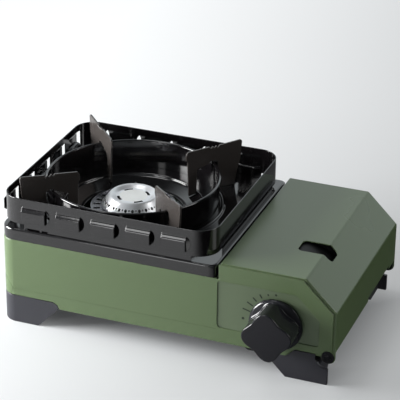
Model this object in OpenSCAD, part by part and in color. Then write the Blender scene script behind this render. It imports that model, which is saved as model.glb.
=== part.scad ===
// Single-burner butane cassette stove: a folded steel body with a lift-off pot support,
// and a container bay whose cover swings down on two pins low on the right-hand side.
// X runs to the right, Y to the rear and Z up. The origin is on the ground, at the middle
// of the whole stove's footprint, which the knob and the windshield's vents reach past.

/* [Body] */
// Width of the body, left face to right face
body_w = 284; // [280:1:292]
// Depth of the body, front face to rear face
body_d = 168; // [166:1:176]
// Height of the body's lower edge above the ground
body_lift = 19; // [18:0.5:22]
// Height of the burner bay's top edge
deck_z = 74.7; // [72:0.1:76]
// Radius of the two rounded left-hand corners
corner_r = 13; // [10:0.5:15]
// Thickness of the steel sheet
sheet = 1; // [0.8:0.1:1.2]
// Height of the pressed line above the body's lower edge
crease_rise = 11.8; // [11:0.2:14]

/* [Container bay] */
// Left edge of the raised front panel
bay_x = 188.2; // [187.6:0.2:190]
// Height of the container cover's top
bay_top = 88.3; // [88:0.1:91]
// Where the flat top turns into the bevel
bevel_x = 258.8; // [256:0.2:262]
// Height at which the bevel meets the right face
bevel_z = 63.4; // [60:0.2:66]
// Lower edge of the cover's right face
side_z = 29.2; // [29:0.2:34]
// Centre of the gas container, from the left face
can_x = 238; // [237:0.5:239]
// Centre of the gas container, above the ground
can_z = 50.6; // [50.2:0.1:51]
// Radius of the gas container's rim
can_r = 34; // [33:0.1:34.2]

/* [Cover] */
// Inset of the front panel from the cover's outline on the bevel and the side
panel_inset = 2.4; // [2:0.1:3]
// Drop of the front panel's top edge below the cover's top
panel_drop = 1.3; // [1.1:0.1:2]
// Depth of the flange turned in along the cover's front and rear edges
hem = 3; // [2.6:0.1:3.2]
// Hinge pin centre, in from the right face
pivot_in = 5.8; // [5.4:0.1:6.2]
// Hinge pin centre, above the body's lower edge
pivot_rise = 5.4; // [5:0.1:6]
// Radius of the hinge pins
pin_r = 2.5; // [2:0.1:2.6]
// Left end of the finger slot
slot_x = 236.6; // [234:0.2:238]
// Length of the finger slot along X
slot_w = 28.4; // [24:0.2:29]
// Front edge of the finger slot
slot_y = 44.6; // [36:0.2:60]
// Width of the finger slot along Y
slot_d = 17.6; // [14:0.2:22]

/* [Drip pan and windshield] */
// Width of the drip pan
pan_w = 186.2; // [185:0.2:186.4]
// Height of the drip pan's floor above the burner bay's top edge
pan_rise = 10.1; // [9.6:0.1:11]
// Radius of the hole round the burner
pan_hole_r = 41.5; // [41.5:0.1:43]
// Radius where the pan's floor steps down
pan_step_r = 57.4; // [57.4:0.1:60]
// Left face of the windshield wall
shield_x = 0.9; // [0.5:0.1:2]
// Width of the windshield
shield_w = 181.5; // [178:0.5:182.5]
// Front face of the windshield wall
shield_y = 1.6; // [1.2:0.1:2.4]
// Radius of the windshield's corners
shield_r = 17.5; // [14:0.5:18]
// Height of the windshield's wall
shield_h = 26.6; // [24:0.2:28]
// Number of vents on each vented side
vents = 5; // [3:1:5]
// Spacing of the vents
vent_pitch = 29.8; // [28:0.1:30.4]
// Length of a vent
vent_l = 23.6; // [20:0.2:24.4]
// Height of a vent
vent_h = 13.4; // [11:0.2:14]
// How far a vent stands out of the wall
vent_out = 2.9; // [2.4:0.1:3.2]

/* [Pot support] */
// Centre of burner and pot ring, from the left face
ring_x = 83.5; // [82:0.5:85]
// Centre of burner and pot ring, from the front face
ring_y = 80.4; // [79:0.2:84]
// Outer radius of the pot ring's wall
ring_r = 70.4; // [69:0.2:71]
// Height of the pot ring
ring_h = 24.9; // [23:0.1:26]
// Height of the arms' outer ends above the pot ring
arm_rise = 15.3; // [14:0.1:17]
// Radius reached by the arms' outer ends
arm_reach = 97.3; // [95:0.1:98]
// Radius of the arms' inner ends
arm_inner = 46.5; // [45:0.1:48]
// Thickness of an arm
arm_t = 1.6; // [1.4:0.1:2]

/* [Burner] */
// Radius of the burner body's flange
flange_r = 35.3; // [34.6:0.1:35.6]
// Height of the burner body's flange above the mixing tube
burner_rise = 30.4; // [29.6:0.1:31]
// Radius of the burner cap's top rim
cap_r = 19.2; // [18:0.1:20]
// Height of the burner cap
cap_h = 9.6; // [9:0.1:11]
// Number of large flame ports
ports = 26; // [20:1:28]
// Height of the mixing tube's centre line above the body's lower edge
mix_rise = 31; // [30:0.5:32]
// Outer radius of the mixing tube
mix_r = 11; // [9:0.5:11]

/* [Knob] */
// Knob centre, from the left face
knob_x = 236.1; // [235.6:0.1:237]
// Knob centre, above the ground
knob_z = 45.3; // [44.8:0.1:46]
// How far the knob stands out of the front face
knob_reach = 25; // [22:0.5:28]
// Radius over the knob's lobes
knob_r = 20.3; // [19:0.1:21]
// Depth of the hollows between the lobes
lobe_depth = 4.4; // [3:0.1:5]
// Radius of the knob's round skirt
skirt_r = 21.8; // [21.4:0.1:23]
// Radius of the valve spindle
spindle_r = 3; // [2.5:0.1:3.4]
// Turn of the knob from off to full flame, in degrees
knob_turn = 100; // [80:5:120]

/* [Feet] */
// Length of a left foot along the front, at its top
foot_w = 51.6; // [46:0.2:56]
// Length of a left foot along the side, at its top
foot_d = 44; // [38:0.5:48]
// Height of a foot's top above the body's lower edge
foot_lap = 5.2; // [4.8:0.1:7]
// Thickness of a foot's wall
foot_t = 3; // [2.4:0.1:3.2]

/* [Hidden] */
$fn = 48;

eps = 0.01;            // how far a cut runs past the face that it opens
gap = 0.15;            // clearance between sheets that lie against each other
fit = 0.05;            // radial clearance of a pin or shaft in its hole
notch = 0.5;           // clearance round a foot in the shell

// the bay and its cover
bevel_a = atan2(bay_top - bevel_z, body_w - bevel_x);
panel_top = bay_top - panel_drop;
panel_right = body_w - panel_inset;
wall_x = bay_x - sheet;                    // left face of the partition
wall_top = deck_z + pan_rise - 0.8;        // its top, under the cover's left lip
hem_y = sheet + 0.2;                       // front of the cover, behind the front panel
cover_x = bay_x + 1.1;                     // left edge of the cover
lip_h = 4;                                 // depth of the cover's left lip
pivot_x = body_w - pivot_in;
pivot_z = body_lift + pivot_rise;
ear_r = min(pivot_in, 5.8);                // radius of the cover's hinge ears
pin_notch_r = ear_r - 0.2;                 // notch in the front panel at the hinge pin
washer_r = pin_notch_r - 0.5;
lug_y = hem_y + sheet + 0.4;               // front face of the tray's hinge lug
lug_t = 1.5;
liner_r = can_r + 0.8;                     // underside of the finger slot's liner
liner_edge = 4;                            // how far the liner reaches past the slot
catch_y = 84;                              // middle of the cover's catch
catch_w = 12;

// the tray, and the trough that carries the container
tray_in = sheet + gap;                     // the tray's rim lies inside the shell
tray_z = body_lift + 0.2;                  // underside of the tray's floor
tray_top = tray_z + sheet;
rim_h = 7.8;                               // height of the tray's rim
trough_x = bay_x + 18;                     // where the tray's floor dips for the container
trough_z = can_z - can_r - 0.4;            // top of the trough's floor
trough_in = 6;                             // width of the trough's slopes
trough_wall = pivot_x - ear_r - 0.4;       // right face of the trough's upright edge
trough_top = body_lift + 16;
trough_y = foot_t + 0.3;                   // the trough starts behind the right feet
wall_y = trough_y + 0.3;                   // and so does the partition

// air slots in the tray, in two rows
air_rows = [ring_y - 40.4, ring_y + 27.6];
air_slots = 7;
air_pitch = 14;
air_w = 5;
air_l = 26;

// the recess of the dial
dial_x = bay_x - 0.8;
dial_z = body_lift + 13;                   // lower edge
dial_top = panel_top - 14;
dial_right = panel_right - 11.2;
dial_depth = 1.2;
dial_t = 0.5;
dial_bevel_x = dial_right - 18.4;          // where the recess's top edge turns down
dial_bevel_z = dial_top - (dial_right - dial_bevel_x) * tan(bevel_a);
spindle_hole = spindle_r + 3.2;

// the pan, the windshield and the pot support
pan_z = deck_z + pan_rise;
pan_r = corner_r + 1;                      // radius of the pan's left corners
pan_t = 0.8;
dish_z = pan_z - 6.3;                      // the pan's floor at its hole
dish_r = pan_hole_r + 2.5;                 // where the dish turns level round the hole
step_z = pan_z - 2.3;                      // the pan's floor inside its step
bead_r = 1.7;
bead_mid = ring_r + bead_r + 1.6;          // the bead runs round the outside of the pot ring
shield_t = 0.8;
shield_y1 = body_d - vent_out - 0.1;       // the rear vents end just inside the body's rear
shield_x1 = shield_x + shield_w;
corner_gap = 4.4;                          // height of the openings under its corners
corner_gap_x = 21.6;                       // their reach along the front, at the left
corner_gap_y = 23.4;                       // their reach along the sides
slits = [[23, 35], [37, 42]];              // shallow openings beside the left corners
slit_h = 1.4;
vent_z = pan_z + 14.2;                     // centre height of the vents
vent_slant = 4.1;                          // height of a vent's sloping top
vent_return = 0.8;                         // height of its turned-in lower edge
vent_end = 3;                              // the opening's round end, past the vent's strip
vent_mid_x = (shield_x + shield_x1) / 2 + 0.95;   // of the front and rear vents
vent_mid_y = body_d / 2;
ring_z = pan_z + ring_h;
ring_t = 1.2;
roll_r = 1.2;                              // radius of the ring's rolled top
roll_mid = ring_r - ring_t / 2 + 0.7;
arm_z = ring_z + arm_rise;
saddle_z = ring_z + fit;                   // the arms rest on the ring's rolled top

// the burner and what feeds it
mix_z = body_lift + mix_rise;
flange_z = mix_z + burner_rise;
cap_base = flange_z + 3;
cap_z = cap_base + cap_h;
mix_in = mix_r - 1.5;
elbow_r = 16;
neck_z = mix_z + elbow_r + 2;              // lower end of the burner body's neck
pipe_r = 3;
pipe_bend = 8;
pipe_x = wall_x - 23.2;                    // the gas pipe's stretch along the depth
nozzle_x = pipe_x - pipe_bend;             // rear end of the nozzle
nozzle_r = 5;
nozzle_l = 15;
mouth_x = nozzle_x - nozzle_l - 1;         // open end of the mixing tube
bracket_x0 = mouth_x - 28;                 // the two uprights of the burner's bracket
bracket_x1 = nozzle_x - 4;
bracket_t = 1.5;
bracket_in = 15;                           // half of the bracket's depth
spark_a = 110;                             // direction of the electrode from the burner
spark_r = flange_r + 2.9;
spark_x = ring_x + spark_r * cos(spark_a);
spark_y = ring_y + spark_r * sin(spark_a);
spark_z = flange_z + 2.6;                  // top of the electrode's ceramic
ceramic_r = 2.2;
wire_r = 0.7;                              // radius of the electrode's wire
ceramic_h = 23;
strip_y = ring_y + 20;                     // front edge of the heat panel
strip_w = 22;
strip_z = can_z + 10.4;
strip_t = 1;
strip_x = ring_x + flange_r;               // where the heat panel rises beside the burner

// the valve and the igniter
gov_r = 15;
gov_y = 12;                                // front face of the governor
plate_y = 26;                              // front face of the governor's bracket
plate_t = 1.2;
seat_y = plate_y + plate_t;
seat_t = 1.2;
snout_r = 7.5;
boss_y = 7.8;                              // front of the governor's spindle boss
cap_x = can_x + gov_r + 1;                 // seat of the governor's cap
gov_mid = (gov_y + plate_y) / 2;
pipe_y = gov_y + 4.6;
pipe_z = can_z - 0.6;
cam_y = 4.4;
cam_t = 3;
cam_low = 6;                               // the cam's radius under the plunger at rest
cam_lift = 3.5;                            // the plunger's travel
plunger_r = 1.6;
plunger_y = cam_y + cam_t / 2;
plunger_gap = 0.35;
piezo_r = 3.6;
piezo_l = 24;
lead_r = 1.2;
lead_bend = 6;
lead_z = tray_top + 6;

// the feet, and the right-hand feet's cut round the hinge
foot_z = body_lift + foot_lap;
foot_slant = 18.7;                         // run of a foot's sloping end
foot_x1 = body_w - 5.6;                    // right end of a right foot
foot_x0 = foot_x1 - 52.9;                  // its left end
foot_arc = ear_r + 4.8;                    // the cover's ear turns inside this arc
tab_t = 3;
screw_r = 1.5;
rear_screw_x = wall_x - 6;
rear_screw_z = [36, 60];
foot_screw_x = foot_x0 + 25;               // the right feet's screws
foot_screw_y = foot_t + 6.5;
base_t = 1.2;                              // base plates of the two brackets
opening_r = can_r + 1.2;                   // the rear opening, round the container
belly = 4;                                 // rim of the rear opening below the body's edge

left_reach = shield_x - vent_out;
mid_x = (left_reach + body_w) / 2;
mid_y = (body_d - knob_reach) / 2;

green = "#67795a";
enamel = "#1d1c1e";
black = "#2a2a2e";
steel = "#a9abae";
silver = "#c9ccd0";
brass = "#b5954e";

// ---------- shared shapes ----------

// Moves a piece from the body's own corner to the stove's origin
module place() {
    translate([-mid_x, -mid_y, 0]) children();
}

// Mirrors a front piece to the rear
module to_rear() {
    translate([0, body_d, 0]) mirror([0, 1, 0]) children();
}

// Extrudes an X-Z outline from y0 to y1
module slab(y0, y1) {
    translate([0, y1, 0]) rotate([90, 0, 0]) linear_extrude(y1 - y0) children();
}

// Extrudes a Y-Z outline from x0 to x1
module side_slab(x0, x1) {
    translate([x0, 0, 0]) rotate([90, 0, 90]) linear_extrude(x1 - x0) children();
}

// Round bars along Y and along X
module bar_y(x, z, r, y0, y1) {
    translate([x, y1, z]) rotate([90, 0, 0]) cylinder(r = r, h = y1 - y0);
}

module bar_x(y, z, r, x0, x1) {
    translate([x0, y, z]) rotate([0, 90, 0]) cylinder(r = r, h = x1 - x0);
}

module box(p, q) {
    translate(p) cube(q - p);
}

module upright(x, y, r, z0, z1) {
    translate([x, y, z0]) cylinder(r = r, h = z1 - z0);
}

// Plan of a sheet with its own corner radius at the left and at the right
module plan(x0, y0, x1, y1, rl, rr) {
    translate([x0 + rl, y0]) square([x1 - rr - x0 - rl, y1 - y0]);
    translate([x0, y0 + rl]) square([2 * rl, y1 - y0 - 2 * rl]);
    translate([x1 - 2 * rr, y0 + rr]) square([2 * rr, y1 - y0 - 2 * rr]);
    for (y = [y0 + rl, y1 - rl]) translate([x0 + rl, y]) circle(rl);
    for (y = [y0 + rr, y1 - rr]) translate([x1 - rr, y]) circle(rr);
}

// The body's plan, inset by i, with two round corners at the left and open to x = end
module body_plan(i, end) {
    r = corner_r - i;
    translate([i, corner_r]) square([end - i, body_d - 2 * corner_r]);
    translate([corner_r, i]) square([end - corner_r, body_d - 2 * i]);
    for (y = [corner_r, body_d - corner_r]) translate([corner_r, y]) circle(r);
}

// Turns a profile of radius and height round the burner's centre
module turned() {
    translate([ring_x, ring_y, 0]) rotate_extrude() children();
}

// Points of a circular arc
function arc(c, r, a0, a1, n = 8) =
    [for (k = [0:n]) c + r * [cos(a0 + (a1 - a0) * k / n), sin(a0 + (a1 - a0) * k / n)]];

// The container bay's section, inset by i from the cover's outline and d below its top
function bay_line(x, z0, i, d) = [
    [x, z0],
    [x, bay_top - d],
    [bevel_x - i * sin(bevel_a) + (d - i * cos(bevel_a)) / tan(bevel_a), bay_top - d],
    [body_w - i, bevel_z - i * tan((90 - bevel_a) / 2)],
    [body_w - i, z0]];

// The dial recess's outline, grown by i
function dial_line(i) = [
    [dial_x - i, dial_z - i],
    [dial_x - i, dial_top + i],
    [dial_bevel_x + i * tan(bevel_a / 2), dial_top + i],
    [dial_right + i, dial_bevel_z + i * tan((90 - bevel_a) / 2)],
    [dial_right + i, dial_z - i]];

// A pipe through a list of corners that turn square, each with the same bend
module pipe(pts, r, bend) {
    n = len(pts) - 1;
    for (k = [0:n - 1]) {
        d = (pts[k + 1] - pts[k]) / norm(pts[k + 1] - pts[k]);
        a = pts[k] + d * (k > 0 ? bend : 0);
        b = pts[k + 1] - d * (k < n - 1 ? bend : 0);
        u = [d[1], d[2], d[0]];
        v = cross(d, u);
        multmatrix([[u[0], v[0], d[0], a[0]], [u[1], v[1], d[1], a[1]], [u[2], v[2], d[2], a[2]]])
            cylinder(r = r, h = norm(b - a));
        if (k < n - 1) {
            e = (pts[k + 2] - pts[k + 1]) / norm(pts[k + 2] - pts[k + 1]);
            c = pts[k + 1] + (e - d) * bend;
            w = cross(d, e);
            multmatrix([[-e[0], d[0], w[0], c[0]], [-e[1], d[1], w[1], c[1]],
                [-e[2], d[2], w[2], c[2]]])
                rotate_extrude(angle = 90) translate([bend, 0]) circle(r);
        }
    }
}

// ---------- feet ----------

// Front outline of a left foot, grown by g
function foot_front(g) = [
    [-1, -eps], [foot_w - foot_slant + g, -eps], [foot_w + g, body_lift],
    [foot_w - 1.6 + g, foot_z - 1.4], [foot_w - 5.3 + g / 2, foot_z + g], [-1, foot_z + g]];

// Side outline of a left foot, grown by g
function foot_side(g) = [
    [-1, -eps], [foot_d - foot_slant + g, -eps], [foot_d + g, body_lift],
    [foot_d - 1 + g, foot_z], [foot_d - 5 + g / 2, foot_z + 5.2 + g],
    [corner_r - g / 2, foot_z + 5.2 + g], [corner_r - 5 - g / 2, foot_z + g], [-1, foot_z + g]];

// Front outline of a right foot, grown by g
function foot_right(g) = concat(
    [[foot_x0 + foot_slant, 0], [foot_x1, 0]],
    arc([pivot_x, pivot_z], foot_arc - g, -89, -166),
    [[pivot_x - foot_arc + 0.4 + g, foot_z + 1.2 + g], [foot_x0 + 26 - g / 2, foot_z + 1.2 + g],
        [foot_x0 + 20 - g, body_lift + 0.6], [foot_x0 + 19, body_lift], [foot_x0, body_lift]]);

module foot_left_outline(g) {
    slab(-1, corner_r) polygon(foot_front(g));
    side_slab(-1, corner_r) polygon(foot_side(g));
}

// A left foot wraps the corner: full wall below the shell, one sheet thick within its cut-out
module left_foot() {
    difference() {
        union() {
            intersection() {
                union() {
                    linear_extrude(body_lift) difference() {
                        body_plan(0, foot_w + 5);
                        body_plan(foot_t, foot_w + 6);
                    }
                    linear_extrude(body_lift + 20) difference() {
                        body_plan(0, foot_w + 5);
                        body_plan(sheet, foot_w + 6);
                    }
                }
                foot_left_outline(0);
            }
            box([foot_t - 0.5, foot_t - 0.5, tray_z - tab_t], [corner_r + 8, corner_r + 8, tray_z]);
        }
        linear_extrude(body_lift) difference() {
            square(corner_r);
            body_plan(0, foot_w);
        }
        upright(corner_r, corner_r, screw_r + fit, 0, body_lift + 1);
    }
}

// A right foot has a front plate, a side wall that the open cover clears, and a tab
module right_foot() {
    difference() {
        union() {
            slab(0, sheet) polygon(foot_right(0));
            intersection() {
                slab(0, foot_t) polygon(foot_right(0));
                box([foot_x0 - 1, 0, -1], [body_w, foot_t, body_lift]);
            }
            side_slab(trough_wall - foot_t - 0.5, trough_wall - 0.5)
                polygon([[sheet, 0], [24, 0], [24 + trough_z - 1.2, trough_z - 1.2],
                    [sheet, trough_z - 1.2]]);
            box([foot_x0 + 9, foot_t - 0.5, trough_z - sheet - tab_t],
                [trough_wall - 1, foot_t + 13, trough_z - sheet]);
        }
        upright(foot_screw_x, foot_screw_y, screw_r + fit, 0, body_lift);
    }
}

module foot_front_left() {
    color(black) place() left_foot();
}

module foot_rear_left() {
    color(black) place() to_rear() left_foot();
}

module foot_front_right() {
    color(black) place() right_foot();
}

module foot_rear_right() {
    color(black) place() difference() {
        to_rear() right_foot();
        bar_y(can_x, can_z, opening_r + belly + notch, body_d - foot_t - 1, body_d + 1);
    }
}

// ---------- body ----------

// Clear room for the right-hand feet and the hinge in a panel of the bay
module right_cuts() {
    polygon(foot_right(notch));
    translate([pivot_x - foot_arc + 0.4, body_lift - 1]) square([20, pivot_rise + 1]);
    translate([pivot_x, pivot_z]) circle(pin_notch_r);
}

module body_shell() {
    color(green) place() difference() {
        union() {
            translate([0, 0, body_lift]) linear_extrude(deck_z - body_lift) difference() {
                body_plan(0, bay_x + 2);
                body_plan(sheet, bay_x + 3);
            }
            translate([0, 0, deck_z - sheet]) linear_extrude(sheet) difference() {
                body_plan(0, bay_x - 2);
                body_plan(5, bay_x + 3);
            }
            slab(0, sheet) polygon(bay_line(bay_x, body_lift, panel_inset, panel_drop));
            slab(0, sheet + dial_depth) polygon(dial_line(sheet));
        }
        slab(-1, dial_depth) polygon(dial_line(0));
        slab(-1, sheet + 1) right_cuts();
        foot_left_outline(notch);
        to_rear() foot_left_outline(notch);
        bar_y(knob_x, knob_z, spindle_hole, -1, sheet + 3);
        box([corner_r - 2, -1, body_lift + crease_rise - 0.3],
            [dial_x - 1, 0.35, body_lift + crease_rise + 0.3]);
        box([wall_x + 3, body_d - 2, 0], [bay_x + 4, body_d + 1, deck_z + 1]);
        for (z = rear_screw_z) {
            bar_y(rear_screw_x, z, screw_r + fit, body_d - 2, body_d + 1);
            bar_y(rear_screw_x, z, 2 * screw_r + fit, body_d - 0.6, body_d + 1);
        }
    }
}

module rear_panel() {
    color(green) place() difference() {
        union() {
            slab(body_d - sheet, body_d) difference() {
                union() {
                    difference() {
                        polygon(bay_line(wall_x + 3.2, body_lift, panel_inset, panel_drop));
                        right_cuts();
                    }
                    intersection() {
                        translate([can_x, can_z]) circle(opening_r + belly);
                        translate([0, -1]) square([body_w, can_z + 1]);
                    }
                }
                translate([can_x, can_z]) circle(opening_r);
                translate([can_x - opening_r, can_z]) square([2 * opening_r, bay_top]);
            }
            box([wall_x - 12, body_d - 2 * sheet, rear_screw_z[0] - 6],
                [wall_x + 6, body_d - sheet, rear_screw_z[1] + 8]);
            box([trough_wall, body_d - trough_y - 12, pivot_z + ear_r + 1.2],
                [trough_wall + sheet, body_d - sheet + eps, trough_top + 4]);
        }
        for (z = rear_screw_z) bar_y(rear_screw_x, z, screw_r + fit, body_d - 4, body_d + 1);
        bar_y(can_x, can_z, opening_r, body_d - 3, body_d + 1);
    }
}

module dial_plate() {
    color(green) place() difference() {
        slab(dial_depth - dial_t, dial_depth) polygon(dial_line(-0.1));
        bar_y(knob_x, knob_z, spindle_hole, -1, sheet + 3);
    }
}

// The tray's section in the bay: floor, trough and upright edge
function tray_line(d) = [
    [trough_x - 2, tray_top - d], [trough_x, tray_top - d], [trough_x + trough_in, trough_z - d],
    [trough_wall - trough_in, trough_z - d], [trough_wall - sheet + d, tray_top - d]];

module hinge_lug() {
    difference() {
        union() {
            bar_y(pivot_x, pivot_z, washer_r - 0.3, lug_y, lug_y + lug_t);
            box([trough_wall - sheet, lug_y, pivot_z - 3.4],
                [pivot_x - 1, lug_y + lug_t, pivot_z + 3.4]);
        }
        bar_y(pivot_x, pivot_z, pin_r + fit, lug_y - 1, lug_y + lug_t + 1);
    }
}

module base_tray() {
    color(black) place() difference() {
        union() {
            translate([0, 0, tray_z]) linear_extrude(sheet) body_plan(tray_in, trough_x);
            translate([0, 0, tray_z]) linear_extrude(rim_h) difference() {
                body_plan(tray_in, trough_x - 3);
                body_plan(tray_in + sheet, trough_x);
            }
            slab(trough_y, body_d - trough_y) polygon(concat(tray_line(sheet),
                [[trough_wall, trough_top], [trough_wall - sheet, trough_top]],
                [for (k = [4:-1:0]) tray_line(0)[k]]));
            hinge_lug();
            to_rear() hinge_lug();
        }
        for (k = [0:air_slots - 1], y = air_rows)
            translate([ring_x - 38.5 + k * air_pitch, y, tray_z - 1]) linear_extrude(4) {
                square([air_w, air_l]);
                translate([air_w / 2, 0]) circle(air_w / 2);
                translate([air_w / 2, air_l]) circle(air_w / 2);
            }
        for (y = [corner_r, body_d - corner_r])
            upright(corner_r, y, screw_r + fit, 0, tray_top + 1);
        for (y = [foot_screw_y, body_d - foot_screw_y])
            upright(foot_screw_x, y, screw_r + fit, 0, tray_top + 1);
        for (p = bracket_holes) upright(p[0], p[1], screw_r + fit, 0, tray_top + 2);
    }
}

module bay_partition() {
    color(steel) place() difference() {
        union() {
            box([wall_x, wall_y, tray_top], [bay_x, body_d - wall_y, wall_top]);
            box([wall_x, wall_y, wall_top - sheet], [bay_x + 8, body_d - wall_y, wall_top]);
        }
        bar_x(pipe_y, pipe_z, pipe_r + 1, wall_x - 1, bay_x + 1);
        bar_x(plunger_y, knob_z, lead_r + fit, wall_x - 1, bay_x + 1);
        box([wall_x - 1, strip_y - 0.3, strip_z], [bay_x + 1, strip_y + strip_w + 0.3, strip_z + 1.4]);
        box([bay_x, catch_y - catch_w / 2 - 0.3, pan_z - 4],
            [bay_x + 2, catch_y + catch_w / 2 + 0.3, pan_z]);
    }
}

// A spring leaf on the partition, with a nose that holds the cover's left lip
module cover_catch() {
    leaf_x = bay_x + 0.1;
    color(steel) place() {
        box([bay_x, catch_y - catch_w / 2, pan_z - 12], [leaf_x + 0.5, catch_y + catch_w / 2, pan_z - 5]);
        box([leaf_x, catch_y - catch_w / 2, pan_z - 5.5],
            [leaf_x + 0.5, catch_y + catch_w / 2, pan_z + 1.6]);
        translate([leaf_x + 0.5, catch_y - 4, pan_z + 0.9]) rotate([-90, 0, 0])
            cylinder(r = 0.4, h = 8);
    }
}

// ---------- cover ----------

// The cover's sheet in section, inset by i
module cover_section(i) {
    polygon(bay_line(cover_x + i, side_z - (i > 0 ? 5 : 0), i, i));
}

module ear_outline() {
    difference() {
        union() {
            translate([pivot_x, pivot_z]) circle(ear_r);
            translate([pivot_x, pivot_z]) square([body_w - pivot_x, side_z - pivot_z + 6]);
            polygon([[pivot_x - ear_r, pivot_z], [pivot_x - ear_r + 2, side_z + 6],
                [body_w - hem, side_z + 16], [body_w, side_z + 16], [body_w, pivot_z]]);
        }
        translate([pivot_x, pivot_z]) circle(pin_r + fit);
    }
}

module container_cover() {
    y1 = body_d - hem_y;
    color(green) place() difference() {
        union() {
            slab(hem_y, y1) difference() {
                cover_section(0);
                cover_section(sheet);
            }
            for (y = [hem_y, y1 - sheet]) slab(y, y + sheet) difference() {
                cover_section(0);
                polygon(bay_line(cover_x + hem, side_z - 5, hem, hem));
                translate([cover_x - 1, 0]) square([hem + 2, bay_top - lip_h]);
            }
            for (y = [hem_y, y1 - sheet]) slab(y, y + sheet) ear_outline();
        }
        // the left side is only a lip
        box([cover_x - 1, 0, 0], [cover_x + hem + 1, body_d, bay_top - lip_h]);
        // finger slot through the crease
        translate([0, 0, bevel_z]) linear_extrude(bay_top)
            plan(slot_x, slot_y, slot_x + slot_w, slot_y + slot_d, 4, 4);
        // raised lower edge at the middle of the side
        box([body_w - 2 * sheet, body_d * 0.53, 0], [body_w + 1, body_d * 0.89, side_z + 3]);
    }
}

module liner_space(i) {
    intersection() {
        polygon(bay_line(slot_x - liner_edge + i, can_z, sheet, sheet));
        translate([slot_x - liner_edge + i, can_z])
            square([slot_w + 2 * liner_edge - 2 * i, 60]);
    }
}

module slot_liner() {
    y0 = slot_y - liner_edge;
    y1 = slot_y + slot_d + liner_edge;
    color(black) place() difference() {
        slab(y0, y1) liner_space(0);
        slab(y0 + 1, y1 - 1) difference() {
            liner_space(1);
            translate([can_x, can_z]) circle(liner_r + 1);
        }
        bar_y(can_x, can_z, liner_r, y0 - 1, y1 + 1);
    }
}

module hinge_pin() {
    bar_y(pivot_x, pivot_z, pin_r, 0, lug_y + lug_t + 0.4);
}

module hinge_pins() {
    color(black) place() {
        hinge_pin();
        to_rear() hinge_pin();
    }
}

module hinge_washer() {
    difference() {
        bar_y(pivot_x, pivot_z, washer_r, 0.2, hem_y - 0.05);
        bar_y(pivot_x, pivot_z, pin_r + fit, -1, 3);
    }
}

module hinge_washers() {
    color(black) place() {
        hinge_washer();
        to_rear() hinge_washer();
    }
}

// ---------- knob and valve ----------

// The grip's outline: four broad lobes, turned a little, pulled in by i
function grip_line(i) = [for (k = [0:3:357])
    (knob_r - lobe_depth / 2 - i + lobe_depth / 2 * cos(4 * (k - 6))) * [cos(k), sin(k)]];

// Places a knob outline at the knob's axis and extrudes it from y0 to y1
module on_axis(y0, y1) {
    translate([knob_x, y1, knob_z]) rotate([90, 0, 0]) linear_extrude(y1 - y0) children();
}

module control_knob() {
    skirt_y = -0.5;
    color(black) place() difference() {
        union() {
            on_axis(2 - knob_reach, skirt_y - 3) polygon(grip_line(0));
            on_axis(1 - knob_reach, 2 - knob_reach) polygon(grip_line(0.5));
            on_axis(-knob_reach, 1 - knob_reach) polygon(grip_line(1.3));
            bar_y(knob_x, knob_z, skirt_r, skirt_y - 4.2, skirt_y);
        }
        difference() {
            bar_y(knob_x, knob_z, knob_r - lobe_depth - 3, 2.5 - knob_reach, 1);
            bar_y(knob_x, knob_z, spindle_r + 3, -knob_reach, skirt_y);
        }
        bar_y(knob_x, knob_z, spindle_r + fit, 5 - knob_reach, 1);
    }
}

module valve_spindle() {
    color(brass) place() bar_y(knob_x, knob_z, spindle_r, 5.5 - knob_reach, gov_y + 6);
}

// The cam's rim grows under the plunger as the knob turns
function cam_line() = concat(
    [for (k = [0:4:knob_turn]) let (a = 180 - knob_turn + k)
        (cam_low + cam_lift * (1 - k / knob_turn)) * [cos(a), sin(a)]],
    [for (k = [190:10:510 - knob_turn]) cam_low * [cos(k), sin(k)]]);

module igniter_cam() {
    color(black) place() difference() {
        on_axis(cam_y, cam_y + cam_t) polygon(cam_line());
        bar_y(knob_x, knob_z, spindle_r + fit, cam_y - 1, cam_y + cam_t + 1);
    }
}

module governor_body() {
    color(silver) place() difference() {
        union() {
            bar_y(can_x, can_z, gov_r, gov_y, plate_y);
            bar_y(knob_x, knob_z, spindle_r + 2.5, boss_y, gov_y + 1);
            bar_y(can_x, can_z, snout_r, plate_y - 1, seat_y + seat_t + 3);
            bar_x(gov_mid, can_z, 6.8, can_x + 4, cap_x);
            bar_x(pipe_y, pipe_z, pipe_r + 1, can_x - gov_r - 4, can_x);
        }
        bar_y(knob_x, knob_z, spindle_r + fit, boss_y - 1, gov_y + 6.2);
        bar_y(can_x, can_z, 3, seat_y - 3, seat_y + 8);
    }
}

module governor_cap() {
    color(steel) place() {
        bar_x(gov_mid, can_z, 6.4, cap_x, cap_x + 4);
        bar_x(gov_mid, can_z, 3, cap_x + 3, cap_x + 6);
    }
}

module governor_bracket() {
    color(steel) place() difference() {
        union() {
            box([can_x - 25, plate_y, trough_z], [can_x + 25, plate_y + plate_t, can_z + 21]);
            box([can_x - 16, plate_y - 13, trough_z], [can_x + 16, plate_y + 0.5, trough_z + base_t]);
        }
        bar_y(can_x, can_z, snout_r + fit, plate_y - 1, plate_y + 3);
        for (k = [2, 3])
            upright(bracket_holes[k][0], bracket_holes[k][1], screw_r + fit, trough_z - 1, trough_z + 3);
    }
}

module can_seat() {
    color(silver) place() difference() {
        bar_y(can_x, can_z, 24, seat_y, seat_y + seat_t);
        bar_y(can_x, can_z, snout_r + fit, seat_y - 1, seat_y + 3);
    }
}

module seat_magnets() {
    color(steel) place() for (a = [45:90:315])
        bar_y(can_x + 16 * cos(a), can_z + 16 * sin(a), 5, seat_y + seat_t, seat_y + seat_t + 3);
}

module can_key() {
    color(silver) place() box([can_x - 2, seat_y + seat_t, can_z + 10],
        [can_x + 2, seat_y + seat_t + 4.5, can_z + 15]);
}

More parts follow.
